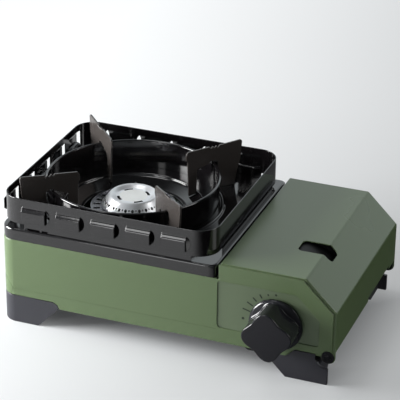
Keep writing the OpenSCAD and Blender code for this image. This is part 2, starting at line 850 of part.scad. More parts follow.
module gas_pipe() {
    color(brass) place() pipe([[can_x - gov_r - 4, pipe_y, pipe_z], [pipe_x, pipe_y, pipe_z],
        [pipe_x, ring_y, pipe_z], [nozzle_x, ring_y, pipe_z]], pipe_r, pipe_bend - eps);
}

module nozzle() {
    color(brass) place() difference() {
        union() {
            bar_x(ring_y, mix_z, nozzle_r, nozzle_x - nozzle_l + 5, nozzle_x);
            bar_x(ring_y, mix_z, nozzle_r / 2, nozzle_x - nozzle_l, nozzle_x - nozzle_l + 6);
        }
        bar_x(ring_y, mix_z, 1, nozzle_x - nozzle_l - 1, nozzle_x - 4);
    }
}

module mixing_tube() {
    color(steel) place() difference() {
        union() {
            bar_x(ring_y, mix_z, mix_r, ring_x + elbow_r, mouth_x);
            translate([mouth_x - 4, ring_y, mix_z]) rotate([0, 90, 0])
                cylinder(r1 = mix_r, r2 = mix_r + 3, h = 4);
            translate([ring_x + elbow_r, ring_y, mix_z + elbow_r]) rotate([90, 0, 180])
                mirror([1, 0, 0]) rotate([0, 0, 180]) rotate_extrude(angle = 90)
                translate([elbow_r, 0]) circle(mix_r);
            upright(ring_x, ring_y, mix_r, mix_z + elbow_r, neck_z + 4);
        }
        bar_x(ring_y, mix_z, mix_in, ring_x + elbow_r, mouth_x + 1);
        translate([mouth_x - 4, ring_y, mix_z]) rotate([0, 90, 0])
            cylinder(r1 = mix_in, r2 = mix_in + 3.75, h = 5);
        translate([ring_x + elbow_r, ring_y, mix_z + elbow_r]) rotate([90, 0, 180])
            mirror([1, 0, 0]) rotate([0, 0, 180]) rotate_extrude(angle = 90)
            translate([elbow_r, 0]) circle(mix_in);
        upright(ring_x, ring_y, mix_in, mix_z + elbow_r, neck_z + 5);
    }
}

// ---------- burner ----------

module burner_body() {
    inner = 24.5;
    color(silver) place() difference() {
        union() {
            turned() polygon([
                [mix_r + fit, neck_z], [mix_r + 3, neck_z], [mix_r + 3, neck_z + 4],
                [inner, flange_z - 3.5], [inner + 3, flange_z], [flange_r, flange_z],
                [flange_r, cap_base - 0.4], [flange_r - 1.2, cap_base - 0.4],
                [flange_r - 1.2, flange_z + 1.4], [inner + 2, flange_z + 1.4],
                [inner + 2, cap_base], [inner, cap_base], [inner, flange_z - 1.5],
                [mix_r + 2, neck_z + 6], [mix_r + fit, neck_z + 6]]);
            upright(spark_x, spark_y, ceramic_r + 1, flange_z, flange_z + 1.4);
        }
        for (k = [0:23]) translate([ring_x, ring_y, flange_z - 1]) rotate([0, 0, 15 * k])
            translate([inner + 3.2, -1.4, 0]) cube([5.4, 2.8, 4]);
        upright(spark_x, spark_y, ceramic_r + fit, flange_z - 1, flange_z + 3);
    }
}

// The cap's top surface, inset by i
function cap_line(i) = [
    [26 - i, cap_base], [26 - i, cap_base + 1.2 - i / 2], [cap_r + 0.9 - i, cap_z - 0.8 - i / 2],
    [cap_r - i / 2, cap_z - i], [cap_r - 1.8, cap_z - 0.4 - i], [14, cap_z - 2.2 - i],
    [0, cap_z - 1.4 - i]];

module burner_cap() {
    port_z = cap_base + 4.4;
    color(silver) place() difference() {
        turned() polygon(concat(cap_line(0), [[0, cap_z - 3], [13.4, cap_z - 3.8],
            [cap_r - 1.6, cap_z - 2.6], [24.2, cap_base + 1], [24.2, cap_base]]));
        for (k = [0:ports - 1]) translate([ring_x, ring_y, port_z]) rotate([0, 0, k * 360 / ports]) {
            translate([18, 0, 0]) rotate([0, 90, 0]) cylinder(r = 1.1, h = 8);
            rotate([0, 0, 180 / ports]) translate([18, 0, 0.3]) rotate([0, 90, 0])
                cylinder(r = 0.6, h = 8);
        }
        for (k = [0:3]) translate([ring_x, ring_y, cap_z - 6]) rotate([0, 0, 90 * k + 25])
            rotate_extrude(angle = 34) translate([11.4, 0]) square([2.2, 8]);
    }
}

bracket_holes = [[bracket_x0 + 6, ring_y], [bracket_x1 - 12, ring_y],
    [can_x - 10, plate_y - 7], [can_x + 10, plate_y - 7]];

// Two uprights on one base: one holds the mixing tube, one the nozzle
module burner_bracket() {
    y0 = ring_y - bracket_in;
    y1 = ring_y + bracket_in;
    color(steel) place() difference() {
        union() {
            box([bracket_x0, y0, tray_top], [bracket_x1, y1, tray_top + base_t]);
            box([bracket_x0, y0, tray_top], [bracket_x0 + bracket_t, y1, mix_z + mix_r + 4]);
            box([bracket_x1 - bracket_t, y0, tray_top], [bracket_x1, y1, mix_z + nozzle_r + 4]);
        }
        bar_x(ring_y, mix_z, mix_r + fit, bracket_x0 - 1, bracket_x0 + bracket_t + 1);
        bar_x(ring_y, mix_z, nozzle_r + fit, bracket_x1 - bracket_t - 1, bracket_x1 + 1);
        for (k = [0, 1]) upright(bracket_holes[k][0], ring_y, screw_r + fit, tray_z, tray_top + 2);
    }
}

module electrode_ceramic() {
    color("#e9e5dc") place() difference() {
        upright(spark_x, spark_y, ceramic_r, spark_z - ceramic_h, spark_z);
        upright(spark_x, spark_y, wire_r + fit, spark_z - ceramic_h - 1, spark_z + 1);
    }
}

module electrode_wire() {
    color(steel) place() {
        upright(spark_x, spark_y, wire_r, spark_z - ceramic_h, spark_z + 1.5);
        translate([spark_x, spark_y, spark_z + 1.5]) sphere(wire_r);
        translate([spark_x, spark_y, spark_z + 1.5]) rotate([0, 0, spark_a + 180])
            rotate([0, 72, 0]) cylinder(r = wire_r, h = 8);
    }
}

module piezo_igniter() {
    x1 = bay_x + piezo_l;
    color(black) place() difference() {
        union() {
            bar_x(plunger_y, knob_z, piezo_r, bay_x, x1);
            bar_x(plunger_y, knob_z, plunger_r + 1, x1 - 1, x1 + 4);
        }
        bar_x(plunger_y, knob_z, plunger_r + fit, x1 - 12, x1 + 5);
        bar_x(plunger_y, knob_z, lead_r + fit, bay_x - 1, bay_x + 3);
    }
}

module igniter_plunger() {
    x1 = knob_x - cam_low - plunger_gap;
    color(steel) place() {
        bar_x(plunger_y, knob_z, plunger_r, bay_x + piezo_l - 7, x1 - plunger_r);
        translate([x1 - plunger_r, plunger_y, knob_z]) sphere(plunger_r);
    }
}

module igniter_lead() {
    color("#8c2f28") place() pipe([[spark_x, spark_y, spark_z - ceramic_h],
        [spark_x, spark_y, lead_z], [wall_x - 10, spark_y, lead_z], [wall_x - 10, plunger_y, lead_z],
        [wall_x - 10, plunger_y, knob_z], [bay_x + 3, plunger_y, knob_z]], lead_r, lead_bend);
}

// An aluminium strip that takes heat from beside the burner to the container
module heat_panel() {
    rise = dish_z - pan_t - 1;
    a1 = asin((strip_z + strip_t / 2 - can_z) / (can_r + 1.1));
    x1 = can_x - (can_r + 1.1) * cos(a1);
    color(silver) place() difference() {
        union() {
            box([strip_x - 9, strip_y, rise - strip_t], [strip_x + strip_t, strip_y + strip_w, rise]);
            box([strip_x, strip_y, strip_z], [strip_x + strip_t, strip_y + strip_w, rise]);
            box([strip_x, strip_y, strip_z], [x1, strip_y + strip_w, strip_z + strip_t]);
            translate([can_x, strip_y + strip_w, can_z]) rotate([90, 0, 0])
                rotate([0, 0, 180 - a1]) rotate_extrude(angle = a1 + 45)
                translate([can_r + 0.6, 0]) square([strip_t, strip_w]);
        }
        upright(strip_x - 4, strip_y + strip_w / 2, 2, rise - 3, rise + 1);
    }
}

// ---------- pot support, lifted off as one ----------

module pan_plan(i) {
    plan(i, i, pan_w - i, body_d - i, pan_r - i, 4 - i);
}

module drip_pan() {
    color(enamel) place() union() {
        translate([0, 0, deck_z]) linear_extrude(pan_rise) difference() {
            pan_plan(0);
            pan_plan(pan_t);
        }
        translate([0, 0, pan_z - pan_t]) linear_extrude(pan_t) difference() {
            pan_plan(0);
            translate([ring_x, ring_y]) circle(pan_step_r);
        }
        turned() polygon([
            [pan_step_r - pan_t, step_z], [pan_step_r - pan_t, pan_z], [pan_step_r + 0.4, pan_z],
            [pan_step_r + 0.4, step_z - pan_t], [dish_r, dish_z - pan_t],
            [pan_hole_r, dish_z - pan_t], [pan_hole_r, dish_z], [dish_r, dish_z]]);
        turned() intersection() {
            translate([bead_mid, pan_z - 0.3]) circle(bead_r);
            translate([0, pan_z - 0.5]) square([bead_mid + 4, 9]);
        }
    }
}

module shield_plan(i) {
    plan(shield_x + i, shield_y + i, shield_x1 - i, shield_y1 - i, shield_r - i, shield_r - i);
}

// Heights on a vent's section at depth y, d inside its outer face
function vent_top(y, d) =
    vent_h / 2 - d / sin(atan2(vent_out, vent_slant)) + y * vent_slant / vent_out;

function vent_bottom(y, d) =
    d / sin(atan2(vent_out, vent_return)) - vent_h / 2 - y * vent_return / vent_out;

function vent_line(d, y1) = [
    [y1, vent_top(y1, d)], [d - vent_out, vent_top(d - vent_out, d)],
    [d - vent_out, vent_bottom(d - vent_out, d)], [y1, vent_bottom(y1, d)]];

// The strip of one vent, bridged out towards -Y from a wall whose outer face is y = 0
module vent() {
    side_slab(-vent_l / 2, vent_l / 2 - vent_end) difference() {
        polygon(vent_line(0, shield_t));
        polygon(vent_line(shield_t, shield_t + 1));
    }
}

// The opening behind it, which ends in an arc past the strip
module vent_hole() {
    h = vent_h / 2 - 0.4;
    r = (h * h + vent_end * vent_end) / (2 * vent_end);
    x1 = vent_l / 2 - vent_end;
    slab(-1, shield_t + 1) {
        translate([-vent_l / 2, -h]) square([x1 + vent_l / 2 + eps, 2 * h]);
        intersection() {
            translate([vent_l / 2 - r, 0]) circle(r);
            translate([x1, -h]) square([vent_end, 2 * h]);
        }
    }
}

module vent_row() {
    for (k = [0:vents - 1]) translate([(k - (vents - 1) / 2) * vent_pitch, 0, 0]) children();
}

module on_vented_sides() {
    translate([vent_mid_x, shield_y, vent_z]) vent_row() children();
    translate([vent_mid_x, shield_y1, vent_z]) rotate([0, 0, 180]) vent_row() children();
    translate([shield_x, vent_mid_y, vent_z]) rotate([0, 0, -90]) vent_row() children();
}

module windshield() {
    color(enamel) place() union() {
        difference() {
            translate([0, 0, pan_z]) linear_extrude(shield_h) difference() {
                shield_plan(0);
                shield_plan(shield_t);
            }
            on_vented_sides() vent_hole();
            // openings under the corners, and shallow ones beside the left corners
            for (y = [shield_y - 1, shield_y1 - corner_gap_y]) {
                for (x = [[shield_x - 1, shield_x + corner_gap_x], [shield_x1 - shield_r, shield_x1 + 1]])
                    box([x[0], y, pan_z - 1], [x[1], y + corner_gap_y + 1, pan_z + corner_gap]);
                for (x = slits)
                    box([shield_x + x[0], y, pan_z - 1],
                        [shield_x + x[1], y + corner_gap_y + 1, pan_z + slit_h]);
            }
        }
        on_vented_sides() vent();
    }
}

module pot_ring() {
    color(enamel) place() turned() {
        translate([ring_r - ring_t, pan_z]) square([ring_t, ring_h - roll_r]);
        translate([roll_mid, ring_z - roll_r]) circle(roll_r);
    }
}

// A stamped arm in its own plane: radius from the burner and height
module arm_outline() {
    saddle_in = roll_mid - 2;
    foot_in = arm_inner + 2.6;
    tooth = arm_reach - 21.9;              // the outermost of three notches
    polygon(concat(
        arc([arm_reach - 2, arm_z - 2], 2, 0, 90, 4),
        [[tooth + 1.6, arm_z - 1.8]],
        [for (k = [0:2]) each [[tooth - 3.1 * k, arm_z - 3.8],
            [tooth - 1.6 - 3.1 * k, arm_z - 1.9 - 0.1 * k]]],
        [[arm_inner + 2, arm_z - 3.7], [arm_inner + 0.3, arm_z - 6], [arm_inner, arm_z - 11],
            [arm_inner + 1.5, arm_z - 13], [foot_in, dish_z + 2.6],
            [pan_step_r - 1.4, step_z + 0.4], [pan_step_r - 0.6, ring_z - 5.2],
            [saddle_in - 4, ring_z - 3], [saddle_in, saddle_z - 1], [saddle_in, saddle_z],
            [saddle_in + 4, saddle_z], [ring_r + 4.8, ring_z - 1.2],
            [ring_r + 5.1, pan_z], [arm_reach - 6.4, pan_z], [arm_reach - 4.2, pan_z + 13.5],
            [arm_reach - 1.5, pan_z + 22.5]]));
}

module arm(a) {
    color(enamel) place() translate([ring_x, ring_y, 0]) rotate([0, 0, a])
        slab(-arm_t / 2, arm_t / 2) arm_outline();
}

module arm_front_left() {
    arm(225);
}

module arm_front_right() {
    arm(315);
}

module arm_rear_right() {
    arm(45);
}

module arm_rear_left() {
    arm(135);
}

// ---------- screws ----------

// A screw with its head at the bottom, pointing up
module screw_up(x, y, z, l) {
    upright(x, y, screw_r, z - 0.5, z + l);
    upright(x, y, 2 * screw_r, z - 1.6, z);
}

module foot_screws() {
    color(steel) place() for (y = [0, 1]) {
        screw_up(corner_r, y * body_d + (1 - 2 * y) * corner_r, tray_z - tab_t, tab_t + 3);
        screw_up(foot_screw_x, y * body_d + (1 - 2 * y) * foot_screw_y,
            trough_z - sheet - tab_t, tab_t + 3);
    }
}

module bracket_screws() {
    color(steel) place() for (k = [0:3]) {
        p = bracket_holes[k];
        seat = (k < 2 ? tray_top : trough_z) + base_t;
        upright(p[0], p[1], screw_r, seat - 3, seat + 0.5);
        upright(p[0], p[1], 2 * screw_r, seat, seat + 1.4);
    }
}

module rear_screws() {
    color(steel) place() for (z = rear_screw_z) {
        bar_y(rear_screw_x, z, screw_r, body_d - 5, body_d - 0.3);
        bar_y(rear_screw_x, z, 2 * screw_r, body_d - 0.6, body_d);
    }
}

body_shell();
base_tray();
bay_partition();
rear_panel();
dial_plate();
container_cover();
slot_liner();
hinge_pins();
hinge_washers();
cover_catch();
control_knob();
valve_spindle();
igniter_cam();
governor_body();
governor_cap();
governor_bracket();
can_seat();
seat_magnets();
can_key();
gas_pipe();
nozzle();
mixing_tube();
burner_body();
burner_cap();
burner_bracket();
piezo_igniter();
igniter_plunger();
igniter_lead();
electrode_wire();
electrode_ceramic();
heat_panel();
drip_pan();
windshield();
pot_ring();
arm_front_left();
arm_front_right();
arm_rear_right();
arm_rear_left();
foot_front_left();
foot_front_right();
foot_rear_left();
foot_rear_right();
foot_screws();
bracket_screws();
rear_screws();
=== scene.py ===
import bpy
import bmesh
import math
from mathutils import Matrix, Vector


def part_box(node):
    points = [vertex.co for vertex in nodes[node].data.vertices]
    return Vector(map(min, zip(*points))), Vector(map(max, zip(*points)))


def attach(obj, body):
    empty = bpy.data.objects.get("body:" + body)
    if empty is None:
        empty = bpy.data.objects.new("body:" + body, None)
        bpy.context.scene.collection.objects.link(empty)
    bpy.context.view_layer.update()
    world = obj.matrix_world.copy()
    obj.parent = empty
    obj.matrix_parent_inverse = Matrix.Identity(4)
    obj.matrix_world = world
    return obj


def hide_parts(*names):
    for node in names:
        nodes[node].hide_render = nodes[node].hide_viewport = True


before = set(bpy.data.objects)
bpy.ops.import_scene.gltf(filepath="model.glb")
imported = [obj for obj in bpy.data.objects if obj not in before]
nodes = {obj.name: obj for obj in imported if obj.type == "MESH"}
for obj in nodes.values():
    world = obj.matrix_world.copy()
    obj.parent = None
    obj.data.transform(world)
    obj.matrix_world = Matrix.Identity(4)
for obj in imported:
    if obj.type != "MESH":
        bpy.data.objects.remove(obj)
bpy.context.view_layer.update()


# ---------- Body shell ----------
# One blank of thin sheet steel, folded round the two left-hand corners and over at the
# top, with a pressed line along its sides and a pressed recess for the dial. It is
# sprayed satin olive green, and the rest of the stove is fixed into it.

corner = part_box("body_shell")[0]           # the shell's front left corner


def at(x, y, z):
    """A place in millimetres from the shell's left and front faces and the ground."""
    return Vector((corner.x + x / 1000, corner.y + y / 1000, z / 1000))


def start_group(name, inputs):
    """A group whose inputs are given, and which puts out a colour, a roughness and a height."""
    tree = bpy.data.node_groups.new(name, "ShaderNodeTree")
    for label, kind, value in inputs:
        socket = tree.interface.new_socket(name=label, in_out="INPUT", socket_type=kind)
        socket.default_value = value
    for label, kind in (("Colour", "NodeSocketColor"), ("Roughness", "NodeSocketFloat"),
                        ("Height", "NodeSocketFloat")):
        tree.interface.new_socket(name=label, in_out="OUTPUT", socket_type=kind)
    return tree, tree.nodes.new("NodeGroupInput"), tree.nodes.new("NodeGroupOutput")


def maths(tree, operation, *given):
    """The output of one maths node, fed by other outputs or by fixed values."""
    node = tree.nodes.new("ShaderNodeMath")
    node.operation = operation
    for socket, value in zip(node.inputs, given):
        if isinstance(value, bpy.types.NodeSocket):
            tree.links.new(value, socket)
        else:
            socket.default_value = value
    return node.outputs[0]


def noise(tree, where, scale, detail):
    """The output of a noise, at coordinates and with a scale that other nodes give."""
    node = tree.nodes.new("ShaderNodeTexNoise")
    node.inputs["Detail"].default_value = detail
    tree.links.new(where, node.inputs["Vector"])
    tree.links.new(scale, node.inputs["Scale"])
    return node.outputs["Fac"]


def vary(tree, given, out, pattern, height):
    """One pattern mixes the two colours and moves the roughness; another gives the height."""
    blend = tree.nodes.new("ShaderNodeMix")
    blend.data_type = "RGBA"
    tree.links.new(pattern, blend.inputs["Factor"])
    tree.links.new(given.outputs["Colour"], blend.inputs["A"])
    tree.links.new(given.outputs["Second Colour"], blend.inputs["B"])
    centred = maths(tree, "SUBTRACT", pattern, 0.5)
    gloss = maths(tree, "MULTIPLY_ADD", centred, given.outputs["Roughness Spread"],
                  given.outputs["Roughness"])
    tree.links.new(blend.outputs["Result"], out.inputs["Colour"])
    tree.links.new(gloss, out.inputs["Roughness"])
    tree.links.new(height, out.inputs["Height"])


def sprayed_film():
    """A film that varies a little in colour and gloss, with the fine orange peel of spray."""
    tree, given, out = start_group(
        "sprayed_film",
        [("Colour", "NodeSocketColor", (0.2, 0.2, 0.2, 1)),
         ("Second Colour", "NodeSocketColor", (0.2, 0.2, 0.2, 1)),
         ("Patch Scale", "NodeSocketFloat", 20.0),
         ("Peel Scale", "NodeSocketFloat", 900.0),
         ("Roughness", "NodeSocketFloat", 0.4),
         ("Roughness Spread", "NodeSocketFloat", 0.05)])
    where = tree.nodes.new("ShaderNodeTexCoord").outputs["Object"]
    patches = noise(tree, where, given.outputs["Patch Scale"], 3)
    peel = noise(tree, where, given.outputs["Peel Scale"], 2)
    vary(tree, given, out, patches, peel)
    return tree


film = sprayed_film()


def finish(name, effect, values, bump, metallic=0.0, specular=0.5):
    """A material: one effect group drives colour, roughness and height of one shader."""
    made = bpy.data.materials.new(name)
    made.use_nodes = True
    tree = made.node_tree
    shader = tree.nodes["Principled BSDF"]
    source = tree.nodes.new("ShaderNodeGroup")
    source.node_tree = effect
    for key, value in values.items():
        source.inputs[key].default_value = value
    relief = tree.nodes.new("ShaderNodeBump")
    relief.inputs["Strength"].default_value, relief.inputs["Distance"].default_value = bump
    shader.inputs["Metallic"].default_value = metallic
    shader.inputs["Specular IOR Level"].default_value = specular
    tree.links.new(source.outputs["Colour"], shader.inputs["Base Color"])
    tree.links.new(source.outputs["Roughness"], shader.inputs["Roughness"])
    tree.links.new(source.outputs["Height"], relief.inputs["Height"])
    tree.links.new(relief.outputs["Normal"], shader.inputs["Normal"])
    return made


def shade(mesh, angle=50, broad=1e-4):
    """Smooth across small angles; a broad flat with many corners keeps one plain normal."""
    mesh.polygons.foreach_set(
        "use_smooth", [len(p.vertices) < 5 or p.area < broad for p in mesh.polygons])
    mesh.set_sharp_from_angle(angle=math.radians(angle))


def show(name, bm, coat, body, slot, *stands_for):
    """Puts a finished mesh into the scene as a piece that rides on one body."""
    mesh = bpy.data.meshes.new(name)
    bm.to_mesh(mesh)
    bm.free()
    for material in coat if isinstance(coat, list) else [coat]:
        mesh.materials.append(material)
    shade(mesh)
    piece = bpy.data.objects.new(name, mesh)
    bpy.context.scene.collection.objects.link(piece)
    even = piece.modifiers.new("even_faces", "WEIGHTED_NORMAL")
    even.keep_sharp = True
    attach(piece, body)
    for node in stands_for:
        nodes[node].data.materials.clear()
        nodes[node].data.materials.append(mesh.materials[0])
    if stands_for:
        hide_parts(*stands_for)
    return piece


fold_angle = math.radians(28)
flat_angle = math.radians(0.6)             # faces that turn less than this are one flat
weld = 2e-5
in_line = 0.75                             # cosine from which an edge goes on in the same way
room_in_line, room_across = 0.25, 2.05     # shares of the radius that the next edge is long
fold_steps = 4
touch = 1e-5


def meets(a, b, slack=touch):
    return abs(a - b) < slack


def folded(edge):
    return len(edge.link_faces) == 2 and edge.calc_face_angle(0) > fold_angle


def round_over(bm, chosen, radius, steps):
    """Rounds the chosen edges, except where the sheet has no room for this radius."""
    members = set(chosen)
    roomy = []
    for edge in chosen:
        along = edge.verts[1].co - edge.verts[0].co
        fits = True
        for v in edge.verts:
            for near in v.link_edges:
                way = near.verts[1].co - near.verts[0].co
                goes_on = (near in members
                           and abs(along.normalized().dot(way.normalized())) > in_line)
                fits = fits and way.length > radius * (room_in_line if goes_on else room_across)
        if fits:
            roomy.append(edge)
    bmesh.ops.bevel(bm, geom=roomy, offset=radius, offset_type="OFFSET", segments=steps,
                    profile=0.5, affect="EDGES", clamp_overlap=False)


def eased(node, edge_radius, folds=(), steps=2, trim=None):
    """The solid of one node with its edges eased, and wider where the sheet is folded."""
    bm = bmesh.new()
    bm.from_mesh(nodes[node].data)
    bmesh.ops.remove_doubles(bm, verts=bm.verts, dist=weld)
    bmesh.ops.dissolve_limit(bm, angle_limit=flat_angle, verts=bm.verts, edges=bm.edges)
    if trim:
        trim(bm)
    for lies_on_fold, radius in folds:
        chosen = [e for e in bm.edges if folded(e) and all(lies_on_fold(v.co) for v in e.verts)]
        round_over(bm, chosen, radius, fold_steps)
    if edge_radius:
        round_over(bm, [e for e in bm.edges if folded(e)], edge_radius, steps)
    return bm


olive_paint = finish(
    "olive_paint", film,
    {"Colour": (0.104, 0.152, 0.070, 1), "Second Colour": (0.112, 0.162, 0.076, 1),
     "Patch Scale": 9, "Peel Scale": 1500, "Roughness": 0.28, "Roughness Spread": 0.04},
    bump=(0.08, 0.0001), specular=0.6)

deck, deck_end = at(0, 0, 74.7).z, at(187, 0, 0).x


def on_deck_edge(p):
    return meets(p.z, deck) and p.x < deck_end


recess_low, recess_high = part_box("dial_plate")
recess_front, recess_depth = corner.y, 0.0014
recess_slack, rim_slack = 0.0006, 0.001


def in_recess_corner(p):
    """Where the recess's two lower corners and its upper left one are rounded in plan."""
    return (p.y < recess_front + recess_depth and
            any(meets(p.x, x, recess_slack) and meets(p.z, z, recess_slack)
                for x, z in ((recess_low.x, recess_low.z), (recess_low.x, recess_high.z),
                             (recess_high.x, recess_low.z))))


def on_recess_rim(p):
    return (meets(p.y, recess_front)
            and recess_low.x - rim_slack < p.x < recess_high.x + rim_slack
            and recess_low.z - rim_slack < p.z < recess_high.z + rim_slack)


show("body_shell_sheet",
     eased("body_shell", 0.00035, [(on_deck_edge, 0.0009), (in_recess_corner, 0.0025),
                                   (on_recess_rim, 0.0009)]),
     olive_paint, "stove_body", "green_paint", "body_shell")


# ---------- Rear panel ----------
# A separate painted sheet closes the container bay at the rear, cut out round the end of
# the container. Two screws hold its strap behind the shell's edge.

show("rear_panel_sheet", eased("rear_panel", 0.00035), olive_paint, "stove_body",
     "green_paint", "rear_panel")


# ---------- Dial plate and its scale ----------
# A painted plate lies in the recess behind the knob. Its scale is screen-printed in dark
# ink: five strokes that grow with the flame, and two round stops at the ends.

dial_paint = finish(
    "dial_paint", film,
    {"Colour": (0.120, 0.160, 0.094, 1), "Second Colour": (0.128, 0.170, 0.100, 1),
     "Patch Scale": 9, "Peel Scale": 1800, "Roughness": 0.38, "Roughness Spread": 0.04},
    bump=(0.08, 0.0001))

show("dial_plate_sheet", eased("dial_plate", 0.00012), dial_paint, "stove_body",
     "green_paint", "dial_plate")

dark_ink = finish(
    "dark_ink", film,
    {"Colour": (0.012, 0.022, 0.012, 1), "Second Colour": (0.017, 0.028, 0.015, 1),
     "Patch Scale": 90, "Peel Scale": 3000, "Roughness": 0.5, "Roughness Spread": 0.08},
    bump=(0.05, 0.00005))

knob_low, knob_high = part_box("control_knob")
knob_axis = Vector(((knob_low.x + knob_high.x) / 2, 0, (knob_low.z + knob_high.z) / 2))
dial_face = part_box("dial_plate")[0].y
scale_strokes = [(17.6, 24.6, 1.7), (32.3, 24.9, 3.6), (46.3, 25.1, 4.2), (60.0, 25.4, 5.5),
                 (74.5, 25.7, 6.5)]        # angle from the top, radius, length
scale_stops = [(92, 27.4, 1.15), (2.6, 24.6, 0.95)]   # angle, radius, the dot's own radius
stop_corners = 24
stroke_width = 1.15
ink_thickness = 0.00006


def print_outline(bm, outline):
    """One inked patch: an outline on the dial's face, raised by the ink's thickness."""
    front = [bm.verts.new((x, dial_face - ink_thickness, z)) for x, z in outline]
    back = [bm.verts.new((x, dial_face + ink_thickness, z)) for x, z in outline]
    bm.faces.new(front)
    bm.faces.new(back[::-1])
    for k in range(len(outline)):
        j = (k + 1) % len(outline)
        bm.faces.new((front[j], front[k], back[k], back[j]))


def dial_point(angle, radius, across=0.0):
    a = math.radians(angle)
    return (knob_axis.x + (-radius * math.sin(a) + across * math.cos(a)) / 1000,
            knob_axis.z + (radius * math.cos(a) + across * math.sin(a)) / 1000)


bm = bmesh.new()
for angle, radius, length in scale_strokes:
    near, far = radius - length / 2, radius + length / 2
    print_outline(bm, [dial_point(angle, near, -stroke_width / 2),
                       dial_point(angle, near, stroke_width / 2),
                       dial_point(angle, far, stroke_width / 2),
                       dial_point(angle, far, -stroke_width / 2)])
for angle, radius, size in scale_stops:
    x, z = dial_point(angle, radius)
    turns = [math.tau * k / stop_corners for k in range(stop_corners)]
    print_outline(bm, [(x + size / 1000 * math.cos(t), z + size / 1000 * math.sin(t))
                       for t in turns])
bmesh.ops.recalc_face_normals(bm, faces=bm.faces)
show("dial_scale_print", bm, dark_ink, "stove_body", "black_paint")


# ---------- Container cover ----------
# The cover is one painted sheet folded over the bay's top, bevel and side, with a narrow
# hem turned in at both ends. It swings on two ears at its lower right edge and has a
# pierced slot for a finger across the upper fold.

cover_low, cover_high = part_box("container_cover")
bevel_top = Vector((at(258.8, 0, 0).x, 0, at(0, 0, 88.3).z))
bevel_foot = Vector((at(284, 0, 0).x, 0, at(0, 0, 63.4).z))


def on_cover_fold(p):
    """The two long folds between the top, the bevel and the right-hand side."""
    return any(meets(p.x, q.x, 2 * touch) and meets(p.z, q.z, 2 * touch)
               for q in (bevel_top, bevel_foot))


def on_cover_end(p):
    """The outline along the front and the rear end, where the hem is turned in."""
    at_end = meets(p.y, cover_low.y) or meets(p.y, cover_high.y)
    along_bevel = (p.z - bevel_foot.z) / (bevel_top.z - bevel_foot.z)
    bevel_x = bevel_foot.x + (bevel_top.x - bevel_foot.x) * along_bevel
    outside = (meets(p.z, cover_high.z, 2 * touch) or meets(p.x, cover_high.x, 2 * touch)
               or (0 <= along_bevel <= 1 and meets(p.x, bevel_x, 2 * touch)))
    return at_end and outside


show("container_cover_sheet",
     eased("container_cover", 0.0003, [(on_cover_fold, 0.0014), (on_cover_end, 0.0009)]),
     olive_paint, "cover", "green_paint", "container_cover")


# ---------- Lining of the finger slot ----------
# A shallow black pressing is welded under the slot, so that a finger can't touch the
# container. Its paint is semi-matt, and is made darker and less glossy than the other black
# paint: a painted shade for the dark inside the slot.

black_paint = finish(
    "black_paint", film,
    {"Colour": (0.010, 0.010, 0.011, 1), "Second Colour": (0.014, 0.014, 0.016, 1),
     "Patch Scale": 14, "Peel Scale": 1400, "Roughness": 0.42, "Roughness Spread": 0.08},
    bump=(0.12, 0.0001))

# Painted shade: darker and duller than the black paint, so that the slot reads dark inside.
slot_painted_shade_black = finish(
    "slot_painted_shade_black", film,
    {"Colour": (0.004, 0.004, 0.005, 1), "Second Colour": (0.006, 0.006, 0.007, 1),
     "Patch Scale": 14, "Peel Scale": 1400, "Roughness": 0.5, "Roughness Spread": 0.08},
    bump=(0.12, 0.0001), specular=0.25)

show("slot_lining", eased("slot_liner", 0.0004), slot_painted_shade_black, "cover", "black_paint",
     "slot_liner")


# ---------- Hinge pins, washers and catch ----------
# Black-lacquered pins pass through the cover's ears and the tray's lugs; a black washer
# spaces each ear from the panel. A spring leaf spot-welded to the partition snaps under
# the cover's left lip.


def brushed_metal():
    """Rolled or drawn metal: fine streaks along one axis, in colour, gloss and height."""
    tree, given, out = start_group(
        "brushed_metal",
        [("Colour", "NodeSocketColor", (0.5, 0.5, 0.5, 1)),
         ("Second Colour", "NodeSocketColor", (0.4, 0.4, 0.4, 1)),
         ("Streaks", "NodeSocketVector", (1.0, 20.0, 20.0)),
         ("Scale", "NodeSocketFloat", 60.0),
         ("Roughness", "NodeSocketFloat", 0.3),
         ("Roughness Spread", "NodeSocketFloat", 0.1)])
    stretch = tree.nodes.new("ShaderNodeVectorMath")
    stretch.operation = "MULTIPLY"
    tree.links.new(tree.nodes.new("ShaderNodeTexCoord").outputs["Object"], stretch.inputs[0])
    tree.links.new(given.outputs["Streaks"], stretch.inputs[1])
    streaks = noise(tree, stretch.outputs["Vector"], given.outputs["Scale"], 4)
    vary(tree, given, out, streaks, streaks)
    return tree


brushed = brushed_metal()

bright_plating = finish(
    "bright_plating", brushed,
    {"Colour": (0.62, 0.62, 0.64, 1), "Second Colour": (0.52, 0.52, 0.55, 1),
     "Streaks": (12, 1, 12), "Scale": 70, "Roughness": 0.18, "Roughness Spread": 0.1},
    bump=(0.05, 0.00005), metallic=1)

rolled_steel = finish(
    "rolled_steel", brushed,
    {"Colour": (0.44, 0.44, 0.45, 1), "Second Colour": (0.34, 0.34, 0.36, 1),
     "Streaks": (16, 1, 1), "Scale": 45, "Roughness": 0.36, "Roughness Spread": 0.16},
    bump=(0.06, 0.00005), metallic=1)

washer_lacquer = finish(
    "washer_lacquer", film,
    {"Colour": (0.010, 0.010, 0.012, 1), "Second Colour": (0.014, 0.014, 0.016, 1),
     "Patch Scale": 60, "Peel Scale": 1500, "Roughness": 0.14, "Roughness Spread": 0.05},
    bump=(0.04, 0.00005))

show("hinge_pins_black", eased("hinge_pins", 0.0012, steps=4), washer_lacquer, "stove_body",
     "black_paint", "hinge_pins")
show("hinge_washers_black", eased("hinge_washers", 0.00025), washer_lacquer, "stove_body",
     "black_paint", "hinge_washers")
show("cover_catch_spring", eased("cover_catch", 0.0001), rolled_steel, "stove_body",
     "bare_steel", "cover_catch")


# ---------- Partition of the container bay ----------
# A bare steel wall keeps the burner's heat from the container. It stands on the tray and
# its top is turned over under the cover's lip.

